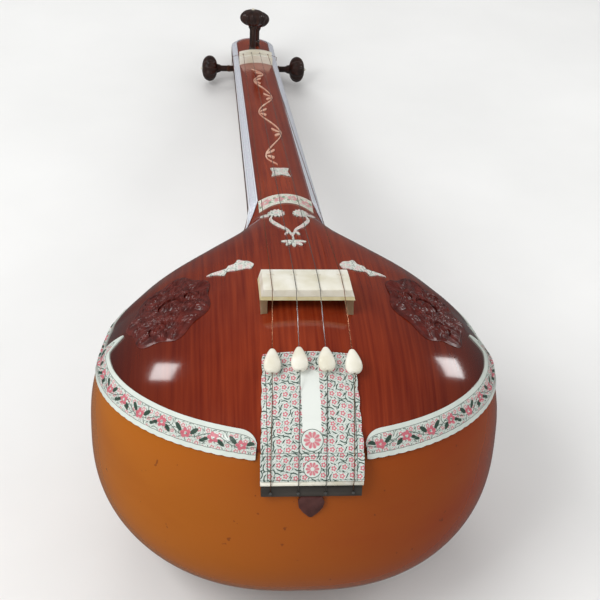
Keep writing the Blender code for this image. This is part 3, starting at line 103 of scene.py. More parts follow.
@dataclass(frozen=True)
class Instrument:
    """The sizes that the whole instrument shares, and its lie on the floor."""

    tilt: float = 0.21136862497765652
    shift_y: float = -0.4963204562664032
    shift_z: float = 0.24214687943458557
    gourd_half_width: float = 0.2293
    gourd_half_length: float = 0.2111
    gourd_half_depth: float = 0.1538
    gourd_centre_y: float = 0.0087
    gourd_centre_z: float = -0.0796
    gourd_power: float = 2.685
    rim_half_width: float = 0.2170
    rim_to_tail: float = 0.1945
    rim_centre_y: float = 0.0026
    joint_y: float = 0.2489
    joint_half_width: float = 0.0455
    joint_edge_z: float = 0.0787
    joint_crown: float = 0.0210
    board_power: float = 0.75
    neck_power: float = 0.84
    board_thickness: float = 0.0040
    collar_y: float = 0.110
    collar_power: float = 2.3
    nut_y: float = 1.0214
    nut_half_width: float = 0.0400
    nut_edge_z: float = 0.0519
    nut_crown: float = 0.0099
    head_length: float = 0.2086
    head_rounding: float = 0.055
    neck_depth: float = 0.047
    throat_length: float = 0.090
    neck_rise: float = 0.012
    shoulder: Stations = ((0, 1), (0.23, 0.955), (0.40, 0.79), (0.56, 0.505), (0.72, 0.2), (0.86, 0.035), (1, 0))
    edge_rise: Stations = ((0, 0), (0.17, 0), (0.33, 0.15), (0.50, 0.39), (0.75, 0.66), (0.87, 0.80), (1, 1))
    crown_rise: Stations = (
        (0, 0), (0.05, 0.27), (0.118, 0.50), (0.179, 0.66), (0.317, 0.83), (0.48, 0.928), (0.66, 0.973), (1, 1),
    )
    collar_bulge: Stations = ((0, 1), (0.30, 1.10), (0.55, 0.95), (0.75, 0.50), (0.90, 0.12), (1, 0.006))
    collar_bottom: Stations = ((0, 1), (0.30, 0.90), (0.55, 0.74), (0.75, 0.52), (0.90, 0.27), (1, 0.12))

    @property
    def tail_y(self) -> float:
        """Where the soundboard ends at the tail."""
        return self.rim_centre_y - self.rim_to_tail

    @property
    def head_end_y(self) -> float:
        """Where the head ends."""
        return self.nut_y + self.head_length

    def matrix(self) -> Matrix:
        """The instrument's frame in the world."""
        return Matrix.Translation((0, self.shift_y, self.shift_z)) @ Matrix.Rotation(-self.tilt, 4, "X")

    def world(self, points: np.ndarray) -> np.ndarray:
        """Points of the instrument's frame, tipped and shifted into the world's."""
        turn = np.array(self.matrix())
        return points @ turn[:3, :3].T + turn[:3, 3]

    def rounding(self, y: np.ndarray) -> np.ndarray:
        """1 along the head, falling to 0 at its end as a quarter of an ellipse."""
        past = (y - (self.head_end_y - self.head_rounding)) / self.head_rounding
        return np.sqrt(np.clip(1 - np.clip(past, 0, 1) ** 2, 0, 1))

    def half_width(self, y: np.ndarray | float) -> np.ndarray:
        """Half the width of the soundboard or of the neck's face: ellipse, shoulder, taper, rounded end."""
        y = np.asarray(y, float)
        tail = self.rim_half_width * np.sqrt(np.clip(1 - ((self.rim_centre_y - y) / self.rim_to_tail) ** 2, 0, 1))
        share = smooth((y - self.rim_centre_y) / (self.joint_y - self.rim_centre_y), self.shoulder)
        body = self.joint_half_width + (self.rim_half_width - self.joint_half_width) * share
        run = np.clip((y - self.joint_y) / (self.nut_y - self.joint_y), 0, 1)
        neck = self.joint_half_width + (self.nut_half_width - self.joint_half_width) * run
        return np.where(y <= self.rim_centre_y, tail, np.where(y <= self.joint_y, body, neck * self.rounding(y)))

    def edge_z(self, y: np.ndarray | float) -> np.ndarray:
        """Height of the edge of the soundboard or of the neck's face."""
        y = np.asarray(y, float)
        share = smooth((y - self.rim_centre_y) / (self.joint_y - self.rim_centre_y), self.edge_rise)
        run = np.clip((y - self.joint_y) / (self.nut_y - self.joint_y), 0, 1)
        neck = self.joint_edge_z + (self.nut_edge_z - self.joint_edge_z) * run
        return np.where(y <= self.joint_y, self.joint_edge_z * share, neck)

    def crown(self, y: np.ndarray | float) -> np.ndarray:
        """Rise of the face from its edges to its middle."""
        y = np.asarray(y, float)
        middle = (self.joint_edge_z + self.joint_crown) * smooth(
            (y - self.tail_y) / (self.joint_y - self.tail_y), self.crown_rise
        )
        run = np.clip((y - self.joint_y) / (self.nut_y - self.joint_y), 0, 1)
        neck = (self.joint_crown + (self.nut_crown - self.joint_crown) * run) * self.rounding(y)
        return np.where(y <= self.joint_y, np.maximum(middle - self.edge_z(y), 0), neck)

    def face_z(self, x: np.ndarray | float, y: np.ndarray | float) -> np.ndarray:
        """Height of the face: the edge's height plus the crown times (1 - across squared) to a power."""
        across = np.clip(np.abs(x) / np.maximum(self.half_width(y), 1e-9), 0, 1)
        run = np.clip((np.asarray(y, float) - self.rim_centre_y) / (self.joint_y - self.rim_centre_y), 0, 1)
        power = self.board_power + (self.neck_power - self.board_power) * run
        return self.edge_z(y) + self.crown(y) * (1 - across**2) ** power

    def gourd_section(self, y: np.ndarray) -> tuple[np.ndarray, ...]:
        """Half-width, middle height, rise, fall and power of the gourd's section at each y."""
        t = np.clip(np.abs((y - self.gourd_centre_y) / self.gourd_half_length), 0, 1)
        half = self.gourd_half_width * np.sqrt(1 - t * t)
        deep = self.gourd_half_depth * (1 - t**self.gourd_power) ** (1 / self.gourd_power)
        return half, np.full_like(y, self.gourd_centre_z), deep, deep, np.full_like(y, self.gourd_power)

    def collar_section(self, y: np.ndarray) -> tuple[np.ndarray, ...]:
        """The same for the collar, which goes from the gourd's section to the neck's."""
        share = (y - self.collar_y) / (self.joint_y - self.collar_y)
        cut_half, _, _, cut_fall, _ = (float(v[0]) for v in self.gourd_section(np.array([self.collar_y])))
        bulge = (cut_half - float(self.half_width(self.collar_y))) * smooth(share, self.collar_bulge)
        top = self.joint_edge_z - self.neck_rise
        middle = self.gourd_centre_z + (top - self.gourd_centre_z) * smooth(share, ((0, 0), (0.5, 0.3), (1, 1)))
        bottom = (self.gourd_centre_z - cut_fall) * smooth(share, self.collar_bottom)
        half = self.half_width(y) + bulge
        power = self.gourd_power + (self.collar_power - self.gourd_power) * share
        inset = np.maximum(1e-4, 1 - (self.half_width(y) / half) ** power) ** (1 / power)
        return half, middle, (self.edge_z(y) - middle) / inset, middle - bottom, power

    def neck_section(self, y: np.ndarray) -> tuple[np.ndarray, ...]:
        """The same for the neck and the head."""
        ends = self.rounding(y)
        middle = self.edge_z(y) - self.neck_rise * ends
        throat_fall = float(self.collar_section(np.array([self.joint_y - 1e-6]))[3][0])
        throat = self.joint_edge_z - self.neck_rise - throat_fall
        extra = (self.joint_edge_z - throat - self.neck_depth) * np.clip(
            1 - (y - self.joint_y) / self.throat_length, 0, 1
        ) ** 2
        fall = np.maximum((self.neck_depth + extra) * ends - (self.edge_z(y) - middle), 0)
        return self.half_width(y), middle, 8 * self.neck_rise * ends, fall, np.full_like(y, self.collar_power)


TANPURA = Instrument()


def signed_volume(points: np.ndarray, faces: np.ndarray) -> float:
    """Six times the volume inside quads: the sum of the triple products of their two triangles."""
    a, b, c, d = (points[faces[:, k]] for k in range(4))
    return float((a * np.cross(b, c)).sum() + (a * np.cross(c, d)).sum())


def loft(name: str, loops: np.ndarray, uvs: np.ndarray | None = None, sharp: float = 40.0,
         tipped: bool = True) -> bpy.types.Object:
    """A closed skin through closed loops, with both ends filled.

    Args:
        name: the new object's name.
        loops: points in the instrument's frame, as rows of loops of equal count.
        uvs: a UV for each point, if the finish follows the surface.
        sharp: edges that turn by more than this many degrees stay sharp.
        tipped: False where the points are in the world's frame already.

    Returns:
        The new object, with its place in its mesh.
    """
    rows, columns = loops.shape[:2]
    points = (TANPURA.world(loops) if tipped else loops).reshape(-1, 3)
    index = np.arange(rows * columns).reshape(rows, columns)
    ahead = np.roll(index, -1, axis=1)
    quads = np.stack([index[:-1], ahead[:-1], ahead[1:], index[1:]], -1).reshape(-1, 4)
    if signed_volume(points, quads) < 0:
        quads = quads[:, ::-1]
        ends = [index[0], index[-1][::-1]]
    else:
        ends = [index[0][::-1], index[-1]]
    mesh = bpy.data.meshes.new(name)
    mesh.from_pydata(points.tolist(), [], quads.tolist() + [end.tolist() for end in ends])
    if uvs is not None:
        layer = mesh.uv_layers.new(name="surface")
        corners = np.empty(len(mesh.loops), np.int32)
        mesh.loops.foreach_get("vertex_index", corners)
        layer.data.foreach_set("uv", uvs.reshape(-1, 2)[corners].ravel())
    bm = bmesh.new()
    bm.from_mesh(mesh)
    bmesh.ops.remove_doubles(bm, verts=bm.verts, dist=1e-6)
    bmesh.ops.recalc_face_normals(bm, faces=bm.faces)
    bm.to_mesh(mesh)
    bm.free()
    mesh.shade_smooth()
    mesh.set_sharp_from_angle(angle=math.radians(sharp))
    obj = bpy.data.objects.new(name, mesh)
    bpy.context.scene.collection.objects.link(obj)
    return obj


def joined(name: str, parts: Sequence[np.ndarray], sharp: float = 50.0) -> bpy.types.Object:
    """One object of several closed skins, each through its own loops."""
    bm = bmesh.new()
    for number, loops in enumerate(parts):
        one = loft(f"{name}_{number}", loops, sharp=sharp)
        mesh = one.data
        bm.from_mesh(mesh)
        bpy.data.objects.remove(one)
        bpy.data.meshes.remove(mesh)
    mesh = bpy.data.meshes.new(name)
    bm.to_mesh(mesh)
    bm.free()
    mesh.shade_smooth()
    mesh.set_sharp_from_angle(angle=math.radians(sharp))
    obj = bpy.data.objects.new(name, mesh)
    bpy.context.scene.collection.objects.link(obj)
    return obj


def strip(path: np.ndarray, left: np.ndarray, right: np.ndarray, height: float, columns: int = 9) -> np.ndarray:
    """Loops of a slab that lies on the face along a path.

    Args:
        path: (x, y) points of its middle.
        left: its reach to the left of the path at each point.
        right: the same to the right.
        height: of its top over the face.
        columns: points across it.

    Returns:
        The loops, as rows along the path.
    """
    ways = np.gradient(path, axis=0)
    ways /= np.linalg.norm(ways, axis=1)[:, None]
    normal = np.stack([-ways[:, 1], ways[:, 0]], -1)
    share = np.linspace(0, 1, columns)[None]
    reach = left[:, None] * (1 - share) - right[:, None] * share
    x = path[:, :1] + normal[:, :1] * reach
    y = path[:, 1:] + normal[:, 1:] * reach
    z = TANPURA.face_z(x, y)
    top, low = np.stack([x, y, z + height], -1), np.stack([x, y, z + GAP], -1)
    return np.concatenate([top, low[:, ::-1]], axis=1)


def blossom(cx: float, cy: float, rx: float, ry: float, height: float, petals: int = 0,
            depth: float = 0.0, turn: float = 0.0) -> np.ndarray:
    """Loops of a round slab on the face, its edge at 1 - depth + depth |cos(petals turn / 2)|."""
    turns = np.linspace(0, 2 * math.pi, 72, endpoint=False)
    rings = np.linspace(0.03, 1, 7)[:, None]
    edge = 1 - depth + depth * np.abs(np.cos(petals * turns / 2)) if petals else np.ones_like(turns)
    lx, ly = rx * rings * edge * np.cos(turns), ry * rings * edge * np.sin(turns)
    x = cx + lx * math.cos(turn) - ly * math.sin(turn)
    y = cy + lx * math.sin(turn) + ly * math.cos(turn)
    z = TANPURA.face_z(x, y)
    top, low = np.stack([x, y, z + height], -1), np.stack([x, y, z + GAP], -1)
    return np.concatenate([low, top[::-1]], axis=0)


def through(points: Sequence[tuple[float, float]], count: int) -> np.ndarray:
    """A smooth path of count points through (x, y) points, by a Catmull-Rom curve."""
    p = np.array(points, float)
    p = np.concatenate([[2 * p[0] - p[1]], p, [2 * p[-1] - p[-2]]])
    t = np.linspace(0, len(points) - 1 - 1e-9, count)
    i = t.astype(int)
    u = (t - i)[:, None]
    a, b, c, d = p[i], p[i + 1], p[i + 2], p[i + 3]
    return 0.5 * (2 * b + (c - a) * u + (2 * a - 5 * b + 4 * c - d) * u**2 + (3 * b - a - 3 * c + d) * u**3)


def copy_of(node: str, name: str, sharp: float = 35.0) -> bpy.types.Object:
    """A merged, smooth-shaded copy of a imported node, for a finish that needs whole faces."""
    mesh = frame["nodes"][node].data.copy()
    mesh.name = name
    bm = bmesh.new()
    bm.from_mesh(mesh)
    bmesh.ops.remove_doubles(bm, verts=bm.verts, dist=1e-5)
    bmesh.ops.recalc_face_normals(bm, faces=bm.faces)
    bm.to_mesh(mesh)
    bm.free()
    mesh.shade_smooth()
    mesh.set_sharp_from_angle(angle=math.radians(sharp))
    obj = bpy.data.objects.new(name, mesh)
    bpy.context.scene.collection.objects.link(obj)
    return obj


class Graph:
    """A material's or a group's nodes, written as sums."""

    def __init__(self, tree: bpy.types.NodeTree) -> None:
        """Keeps the tree that new nodes go into."""
        self.tree = tree

    def node(self, kind: str, **settings: object) -> bpy.types.Node:
        """A new node with its settings made."""
        made = self.tree.nodes.new(kind)
        for key, value in settings.items():
            setattr(made, key, value)
        return made

    def link(self, value: object, socket: bpy.types.NodeSocket) -> None:
        """Feeds a socket from another, or sets it to a plain value."""
        if isinstance(value, bpy.types.NodeSocket):
            self.tree.links.new(value, socket)
        else:
            socket.default_value = value

    def math(self, operation: str, *values: object) -> bpy.types.NodeSocket:
        """One step of arithmetic."""
        step = self.node("ShaderNodeMath", operation=operation)
        for value, socket in zip(values, step.inputs):
            self.link(value, socket)
        return step.outputs[0]

    def inside(self, distance: object, limit: object, soft: float) -> bpy.types.NodeSocket:
        """1 where distance is under limit and 0 past it, over a soft edge."""
        step = self.math("DIVIDE", self.math("SUBTRACT", limit, distance), soft)
        return self.math("MINIMUM", self.math("MAXIMUM", step, 0.0), 1.0)

    def mix(self, factor: object, low: object, high: object) -> bpy.types.NodeSocket:
        """A blend of two colours."""
        made = self.node("ShaderNodeMix", data_type="RGBA")
        self.link(factor, made.inputs[0])
        for value, socket in ((low, made.inputs[6]), (high, made.inputs[7])):
            self.link((*value, 1.0) if isinstance(value, tuple) else value, socket)
        return made.outputs[2]

    def noise(self, place: object, scale: float, detail: float = 3.0) -> bpy.types.NodeSocket:
        """Cloudy noise from 0 to 1."""
        made = self.node("ShaderNodeTexNoise")
        made.inputs["Scale"].default_value = scale
        made.inputs["Detail"].default_value = detail
        self.link(place, made.inputs["Vector"])
        return made.outputs["Fac"]

    def stretched(self, place: object, scale: Colour) -> bpy.types.NodeSocket:
        """A place with its axes scaled."""
        made = self.node("ShaderNodeMapping")
        self.link(place, made.inputs["Vector"])
        made.inputs["Scale"].default_value = scale
        return made.outputs[0]

    def split(self, place: object) -> tuple[bpy.types.NodeSocket, ...]:
        """The three parts of a place."""
        made = self.node("ShaderNodeSeparateXYZ")
        self.link(place, made.inputs[0])
        return tuple(made.outputs)


def flower_vine_group() -> bpy.types.NodeTree:
    """Flowers by turns on either side of a wavy stem, with leaves between and a line along both edges.

    Returns:
        A group that takes Along and Across in metres, with Across 0 on the middle, and Period and Width,
        and puts out the masks Flower, Leaf and Line.
    """
    tree = bpy.data.node_groups.new("flower_vine", "ShaderNodeTree")
    for name in ("Along", "Across", "Period", "Width"):
        tree.interface.new_socket(name, in_out="INPUT", socket_type="NodeSocketFloat")
    for name in ("Flower", "Leaf", "Line"):
        tree.interface.new_socket(name, in_out="OUTPUT", socket_type="NodeSocketFloat")
    g = Graph(tree)
    given = g.node("NodeGroupInput").outputs
    along, across, period, width = (given[n] for n in ("Along", "Across", "Period", "Width"))
    count = g.math("DIVIDE", along, period)
    p = g.math("MULTIPLY", g.math("SUBTRACT", g.math("FRACT", count), 0.5), period)
    odd = g.math("PINGPONG", g.math("FLOOR", count), 1.0)
    side = g.math("SUBTRACT", 1.0, g.math("MULTIPLY", odd, 2.0))
    q = g.math("MULTIPLY", across, side)
    up = g.math("SUBTRACT", q, g.math("MULTIPLY", width, 0.06))
    radius = g.math("SQRT", g.math("ADD", g.math("MULTIPLY", p, p), g.math("MULTIPLY", up, up)))
    turn = g.math("ARCTAN2", up, p)
    petals = g.math("ABSOLUTE", g.math("COSINE", g.math("MULTIPLY", turn, 2.5)))
    reach = g.math("MULTIPLY", width, g.math("ADD", 0.17, g.math("MULTIPLY", petals, 0.10)))
    flower = g.inside(radius, reach, 0.0005)
    heart = g.inside(g.math("MULTIPLY", width, 0.07), radius, 0.0004)
    flower = g.math("MULTIPLY", flower, heart)
    lean = g.math("SUBTRACT", g.math("ABSOLUTE", p), g.math("MULTIPLY", period, 0.30))
    away = g.math("ADD", q, g.math("MULTIPLY", lean, 0.6))
    away = g.math("ADD", away, g.math("MULTIPLY", width, 0.12))
    long = g.math("DIVIDE", lean, g.math("MULTIPLY", period, 0.15))
    wide = g.math("DIVIDE", away, g.math("MULTIPLY", width, 0.13))
    oval = g.math("SQRT", g.math("ADD", g.math("MULTIPLY", long, long), g.math("MULTIPLY", wide, wide)))
    leaf = g.inside(oval, 1.0, 0.12)
    wave = g.math("SINE", g.math("MULTIPLY", count, math.pi))
    stem = g.math("ABSOLUTE", g.math("SUBTRACT", across, g.math("MULTIPLY", wave, g.math("MULTIPLY", width, 0.22))))
    stem = g.inside(stem, 0.0006, 0.0004)
    leaf = g.math("MULTIPLY", g.math("MAXIMUM", leaf, stem), g.math("SUBTRACT", 1.0, flower))
    inset = g.math("SUBTRACT", g.math("MULTIPLY", width, 0.5), g.math("ABSOLUTE", across))
    line = g.math("ABSOLUTE", g.math("SUBTRACT", inset, 0.0016))
    line = g.inside(line, 0.0004, 0.0003)
    out = g.node("NodeGroupOutput")
    for name, value in (("Flower", flower), ("Leaf", leaf), ("Line", line)):
        g.link(value, out.inputs[name])
    return tree


def filigree_group() -> bpy.types.NodeTree:
    """Scattered round flowers, dark leaves between them and fine curling lines, as engravers fill a plate.

    A flower sits in each cell of a loose grid, its edge at R (0.68 + 0.32 |cos(2.5 turn)|); the lines are
    where a cloud passes through its middle value.

    Returns:
        A group that takes Place (two lengths in metres) and Cell, and puts out Flower, Leaf and Line.
    """
    tree = bpy.data.node_groups.new("filigree", "ShaderNodeTree")
    tree.interface.new_socket("Place", in_out="INPUT", socket_type="NodeSocketVector")
    tree.interface.new_socket("Cell", in_out="INPUT", socket_type="NodeSocketFloat")
    for name in ("Flower", "Leaf", "Line"):
        tree.interface.new_socket(name, in_out="OUTPUT", socket_type="NodeSocketFloat")
    g = Graph(tree)
    given = g.node("NodeGroupInput").outputs
    scaled = g.node("ShaderNodeVectorMath", operation="SCALE")
    g.link(given["Place"], scaled.inputs[0])
    g.link(g.math("DIVIDE", 1.0, given["Cell"]), scaled.inputs["Scale"])
    place = scaled.outputs[0]
    cells = g.node("ShaderNodeTexVoronoi", voronoi_dimensions="2D")
    cells.inputs["Scale"].default_value = 1.0
    cells.inputs["Randomness"].default_value = 0.55
    g.link(place, cells.inputs["Vector"])
    apart = g.node("ShaderNodeVectorMath", operation="SUBTRACT")
    g.link(place, apart.inputs[0])
    g.link(cells.outputs["Position"], apart.inputs[1])
    dx, dy, _ = g.split(apart.outputs[0])
    far = cells.outputs["Distance"]
    turn = g.math("ARCTAN2", dy, dx)
    petals = g.math("ABSOLUTE", g.math("COSINE", g.math("MULTIPLY", turn, 2.5)))
    reach = g.math("MULTIPLY_ADD", petals, 0.13, 0.20)
    flower = g.math("MULTIPLY", g.inside(far, reach, 0.05), g.inside(0.085, far, 0.04))
    ring = g.inside(g.math("ABSOLUTE", g.math("SUBTRACT", far, 0.43)), 0.022, 0.03)
    curl = g.math("SINE", g.math("ADD", g.math("MULTIPLY", far, 15.0), g.math("MULTIPLY", turn, 4.0)))
    leaf = g.math("MULTIPLY", g.inside(0.38, far, 0.05), g.math("GREATER_THAN", curl, 0.52))
    cloud = g.noise(place, 2.4, 2.0)
    line = g.inside(g.math("ABSOLUTE", g.math("SUBTRACT", cloud, 0.5)), 0.012, 0.012)
    fine = g.inside(g.math("ABSOLUTE", g.math("SUBTRACT", g.noise(place, 5.5, 1.0), 0.5)), 0.010, 0.012)
    line = g.math("MAXIMUM", line, g.math("MULTIPLY", fine, 0.7))
    line = g.math("MAXIMUM", ring, line)
    line = g.math("MULTIPLY", line, g.math("SUBTRACT", 1.0, flower))
    out = g.node("NodeGroupOutput")
    for name, value in (("Flower", flower), ("Leaf", leaf), ("Line", line)):
        g.link(value, out.inputs[name])
    return tree


class Vine(Enum):
    """How strongly a band's flowering vine stands over its fine engraving."""

    BOLD = 1.0
    FAINT = 0.35


@dataclass(frozen=True)
class Finish:
    """A plain finish: two colours clouded together, a fine bump and a gloss."""

    name: str
    dark: Colour
    light: Colour
    roughness: float = 0.3
    coat: float = 0.0
    metallic: float = 0.0
    stretch: Colour = (1.0, 1.0, 1.0)
    scale: float = 30.0
    bump: float = 0.05
    bump_scale: float = 300.0

    def start(self) -> tuple[bpy.types.Material, Graph, bpy.types.Node]:
        """An empty material with its shader set, and its graph."""
        made = bpy.data.materials.new(self.name)
        made.use_nodes = True
        shader = made.node_tree.nodes["Principled BSDF"]
        shader.inputs["Roughness"].default_value = self.roughness
        shader.inputs["Metallic"].default_value = self.metallic
        shader.inputs["Coat Weight"].default_value = self.coat
        shader.inputs["Coat Roughness"].default_value = 0.08
        return made, Graph(made.node_tree), shader

    def relief(self, graph: Graph, shader: bpy.types.Node, height: object, depth: float = 0.0003) -> None:
        """Feeds a height to the shader as bump."""
        bump = graph.node("ShaderNodeBump")
        bump.inputs["Strength"].default_value = self.bump
        bump.inputs["Distance"].default_value = depth
        graph.link(height, bump.inputs["Height"])
        graph.link(bump.outputs[0], shader.inputs["Normal"])

    def material(self) -> bpy.types.Material:
        """The finished material."""
        made, g, shader = self.start()
        place = g.node("ShaderNodeTexCoord").outputs["Object"]
        cloud = g.noise(g.stretched(place, self.stretch), self.scale, 5.0)
        cloud = g.math("MULTIPLY_ADD", g.math("SUBTRACT", cloud, 0.5), 2.2, 0.5)
        g.link(g.mix(g.math("MINIMUM", g.math("MAXIMUM", cloud, 0.0), 1.0), self.dark, self.light),
               shader.inputs["Base Color"])
        rough = g.math("MULTIPLY_ADD", g.noise(place, self.scale * 3), 0.12, self.roughness - 0.06)
        g.link(rough, shader.inputs["Roughness"])
        self.relief(g, shader, g.noise(g.stretched(place, self.stretch), self.bump_scale))
        return made


@dataclass(frozen=True)
class BoardLacquer(Finish):
    """Red-brown lacquer over straight grain, darker towards the rim; on the neck's face that darkening is painted shade
    on its rounded edges.
    """

    rim: Colour = (0.050, 0.0045, 0.0022)
    rim_at: float = 0.20

    def material(self) -> bpy.types.Material:
        """The grain runs along the instrument; a wide blend across it darkens the sides, which on the neck's face is
        painted shade.
        """
        made, g, shader = self.start()
        place = g.node("ShaderNodeTexCoord").outputs["Object"]
        x, _, _ = g.split(place)
        grain = g.noise(g.stretched(place, (90.0, 2.5, 4.0)), 3.0, 6.0)
        cloud = g.noise(place, 7.0, 3.0)
        mixed = g.math("ADD", g.math("MULTIPLY", grain, 0.65), g.math("MULTIPLY", cloud, 0.5))
        tone = g.math("MULTIPLY_ADD", g.math("SUBTRACT", mixed, 0.57), 3.0, 0.5)
        tone = g.math("MINIMUM", g.math("MAXIMUM", tone, 0.0), 1.0)
        colour = g.mix(tone, self.dark, self.light)
        # darker towards the sides by |x|: on the neck's face this is painted shade where its edges round away
        out = g.math("DIVIDE", g.math("ABSOLUTE", x), self.rim_at)
        out = g.math("MINIMUM", g.math("POWER", out, 2.2), 1.0)
        g.link(g.mix(out, colour, self.rim), shader.inputs["Base Color"])
        rough = g.math("MULTIPLY_ADD", cloud, 0.10, self.roughness - 0.05)
        g.link(rough, shader.inputs["Roughness"])
        self.relief(g, shader, g.math("ADD", grain, g.math("MULTIPLY", cloud, 2.0)))
        return made


@dataclass(frozen=True)
class GourdSkin(Finish):
    """Amber varnish on a gourd, with painted shade: redder and darker to one side, and darker towards its back where it
    nears the floor.
    """

    # painted shade: the colour of the gourd's side away from the key lamp
    painted_side_shade: Colour = (0.25, 0.030, 0.001)
    # the gourd's own dark spots, and also the painted shade towards the floor
    dark_spot_and_underside_shade: Colour = (0.12, 0.024, 0.003)

    def material(self) -> bpy.types.Material:
        """Blends amber to a red-brown painted shade across the gourd, darkens it as painted shade towards the floor,
        and adds soft streaks and a few dark spots.
        """
        made, g, shader = self.start()
        place = g.node("ShaderNodeTexCoord").outputs["Object"]
        x, _, z = g.split(place)
        streak = g.noise(g.stretched(place, (1.0, 0.6, 2.6)), 6.0, 6.0)
        colour = g.mix(streak, self.dark, self.light)
        # painted shade: darker towards +x, the side away from the key lamp
        side = g.math("MULTIPLY_ADD", x, 2.6, 0.42)
        side = g.math("ADD", side, g.math("MULTIPLY", g.math("SUBTRACT", streak, 0.5), 0.8))
        side = g.math("MINIMUM", g.math("MAXIMUM", side, 0.0), 1.0)
        colour = g.mix(side, colour, self.painted_side_shade)
        # painted shade: darker the lower the gourd is, where it nears the floor
        low = g.math("MINIMUM", g.math("MAXIMUM", g.math("MULTIPLY_ADD", z, -9.0, 0.9), 0.0), 0.7)
        colour = g.mix(low, colour, self.dark_spot_and_underside_shade)
        spots = g.math("GREATER_THAN", g.noise(place, 95.0, 2.0), 0.735)
        g.link(g.mix(g.math("MULTIPLY", spots, 0.6), colour, self.dark_spot_and_underside_shade), shader.inputs["Base Color"])
        g.link(g.math("MULTIPLY_ADD", streak, 0.12, self.roughness - 0.04), shader.inputs["Roughness"])
        self.relief(g, shader, g.noise(place, 26.0, 4.0), 0.0012)
        return made


@dataclass(frozen=True)
class PatternedBand(Finish):
    """An ivory-coloured band with pink flowers and dark leaves that follow it by its UV, in metres."""

    vine: Vine = Vine.BOLD
    period: float = 0.030
    width: float = 0.019
    cell: float = 0.0078
    flower: Colour = srgb(196, 104, 116)
    leaf: Colour = srgb(48, 72, 60)
    line: Colour = srgb(70, 74, 68)

    def material(self) -> bpy.types.Material:
        """The ground colour, then leaves, flowers and edge lines over it."""
        made, g, shader = self.start()
        u, v, _ = g.split(g.node("ShaderNodeUVMap", uv_map="surface").outputs[0])
        place = g.node("ShaderNodeTexCoord").outputs["Object"]
        group = g.node("ShaderNodeGroup", node_tree=bpy.data.node_groups["flower_vine"])
        g.link(u, group.inputs["Along"])
        g.link(v, group.inputs["Across"])
        group.inputs["Period"].default_value = self.period
        group.inputs["Width"].default_value = self.width
        fine = g.node("ShaderNodeGroup", node_tree=bpy.data.node_groups["filigree"])
        both = g.node("ShaderNodeCombineXYZ")
        g.link(u, both.inputs[0])
        g.link(v, both.inputs[1])
        g.link(both.outputs[0], fine.inputs["Place"])
        fine.inputs["Cell"].default_value = self.cell
        inner = g.inside(g.math("ABSOLUTE", v), self.width * 0.42, 0.0003)
        colour = g.mix(g.noise(place, 60.0, 4.0), self.dark, self.light)
        for name, tint, share in (("Leaf", self.leaf, 0.75), ("Line", self.leaf, 0.7), ("Flower", self.flower, 0.85)):
            colour = g.mix(g.math("MULTIPLY", g.math("MULTIPLY", fine.outputs[name], inner), share), colour, tint)
        colour = g.mix(g.math("MULTIPLY", group.outputs["Leaf"], self.vine.value), colour, self.leaf)
        colour = g.mix(g.math("MULTIPLY", group.outputs["Flower"], self.vine.value), colour, self.flower)
        colour = g.mix(group.outputs["Line"], colour, self.line)
        g.link(colour, shader.inputs["Base Color"])
        cut = g.math("ADD", group.outputs["Leaf"], g.math("ADD", group.outputs["Flower"], group.outputs["Line"]))
        g.link(g.math("MULTIPLY_ADD", cut, 0.1, self.roughness), shader.inputs["Roughness"])
        self.relief(g, shader, g.math("MULTIPLY", cut, -1.0))
        return made


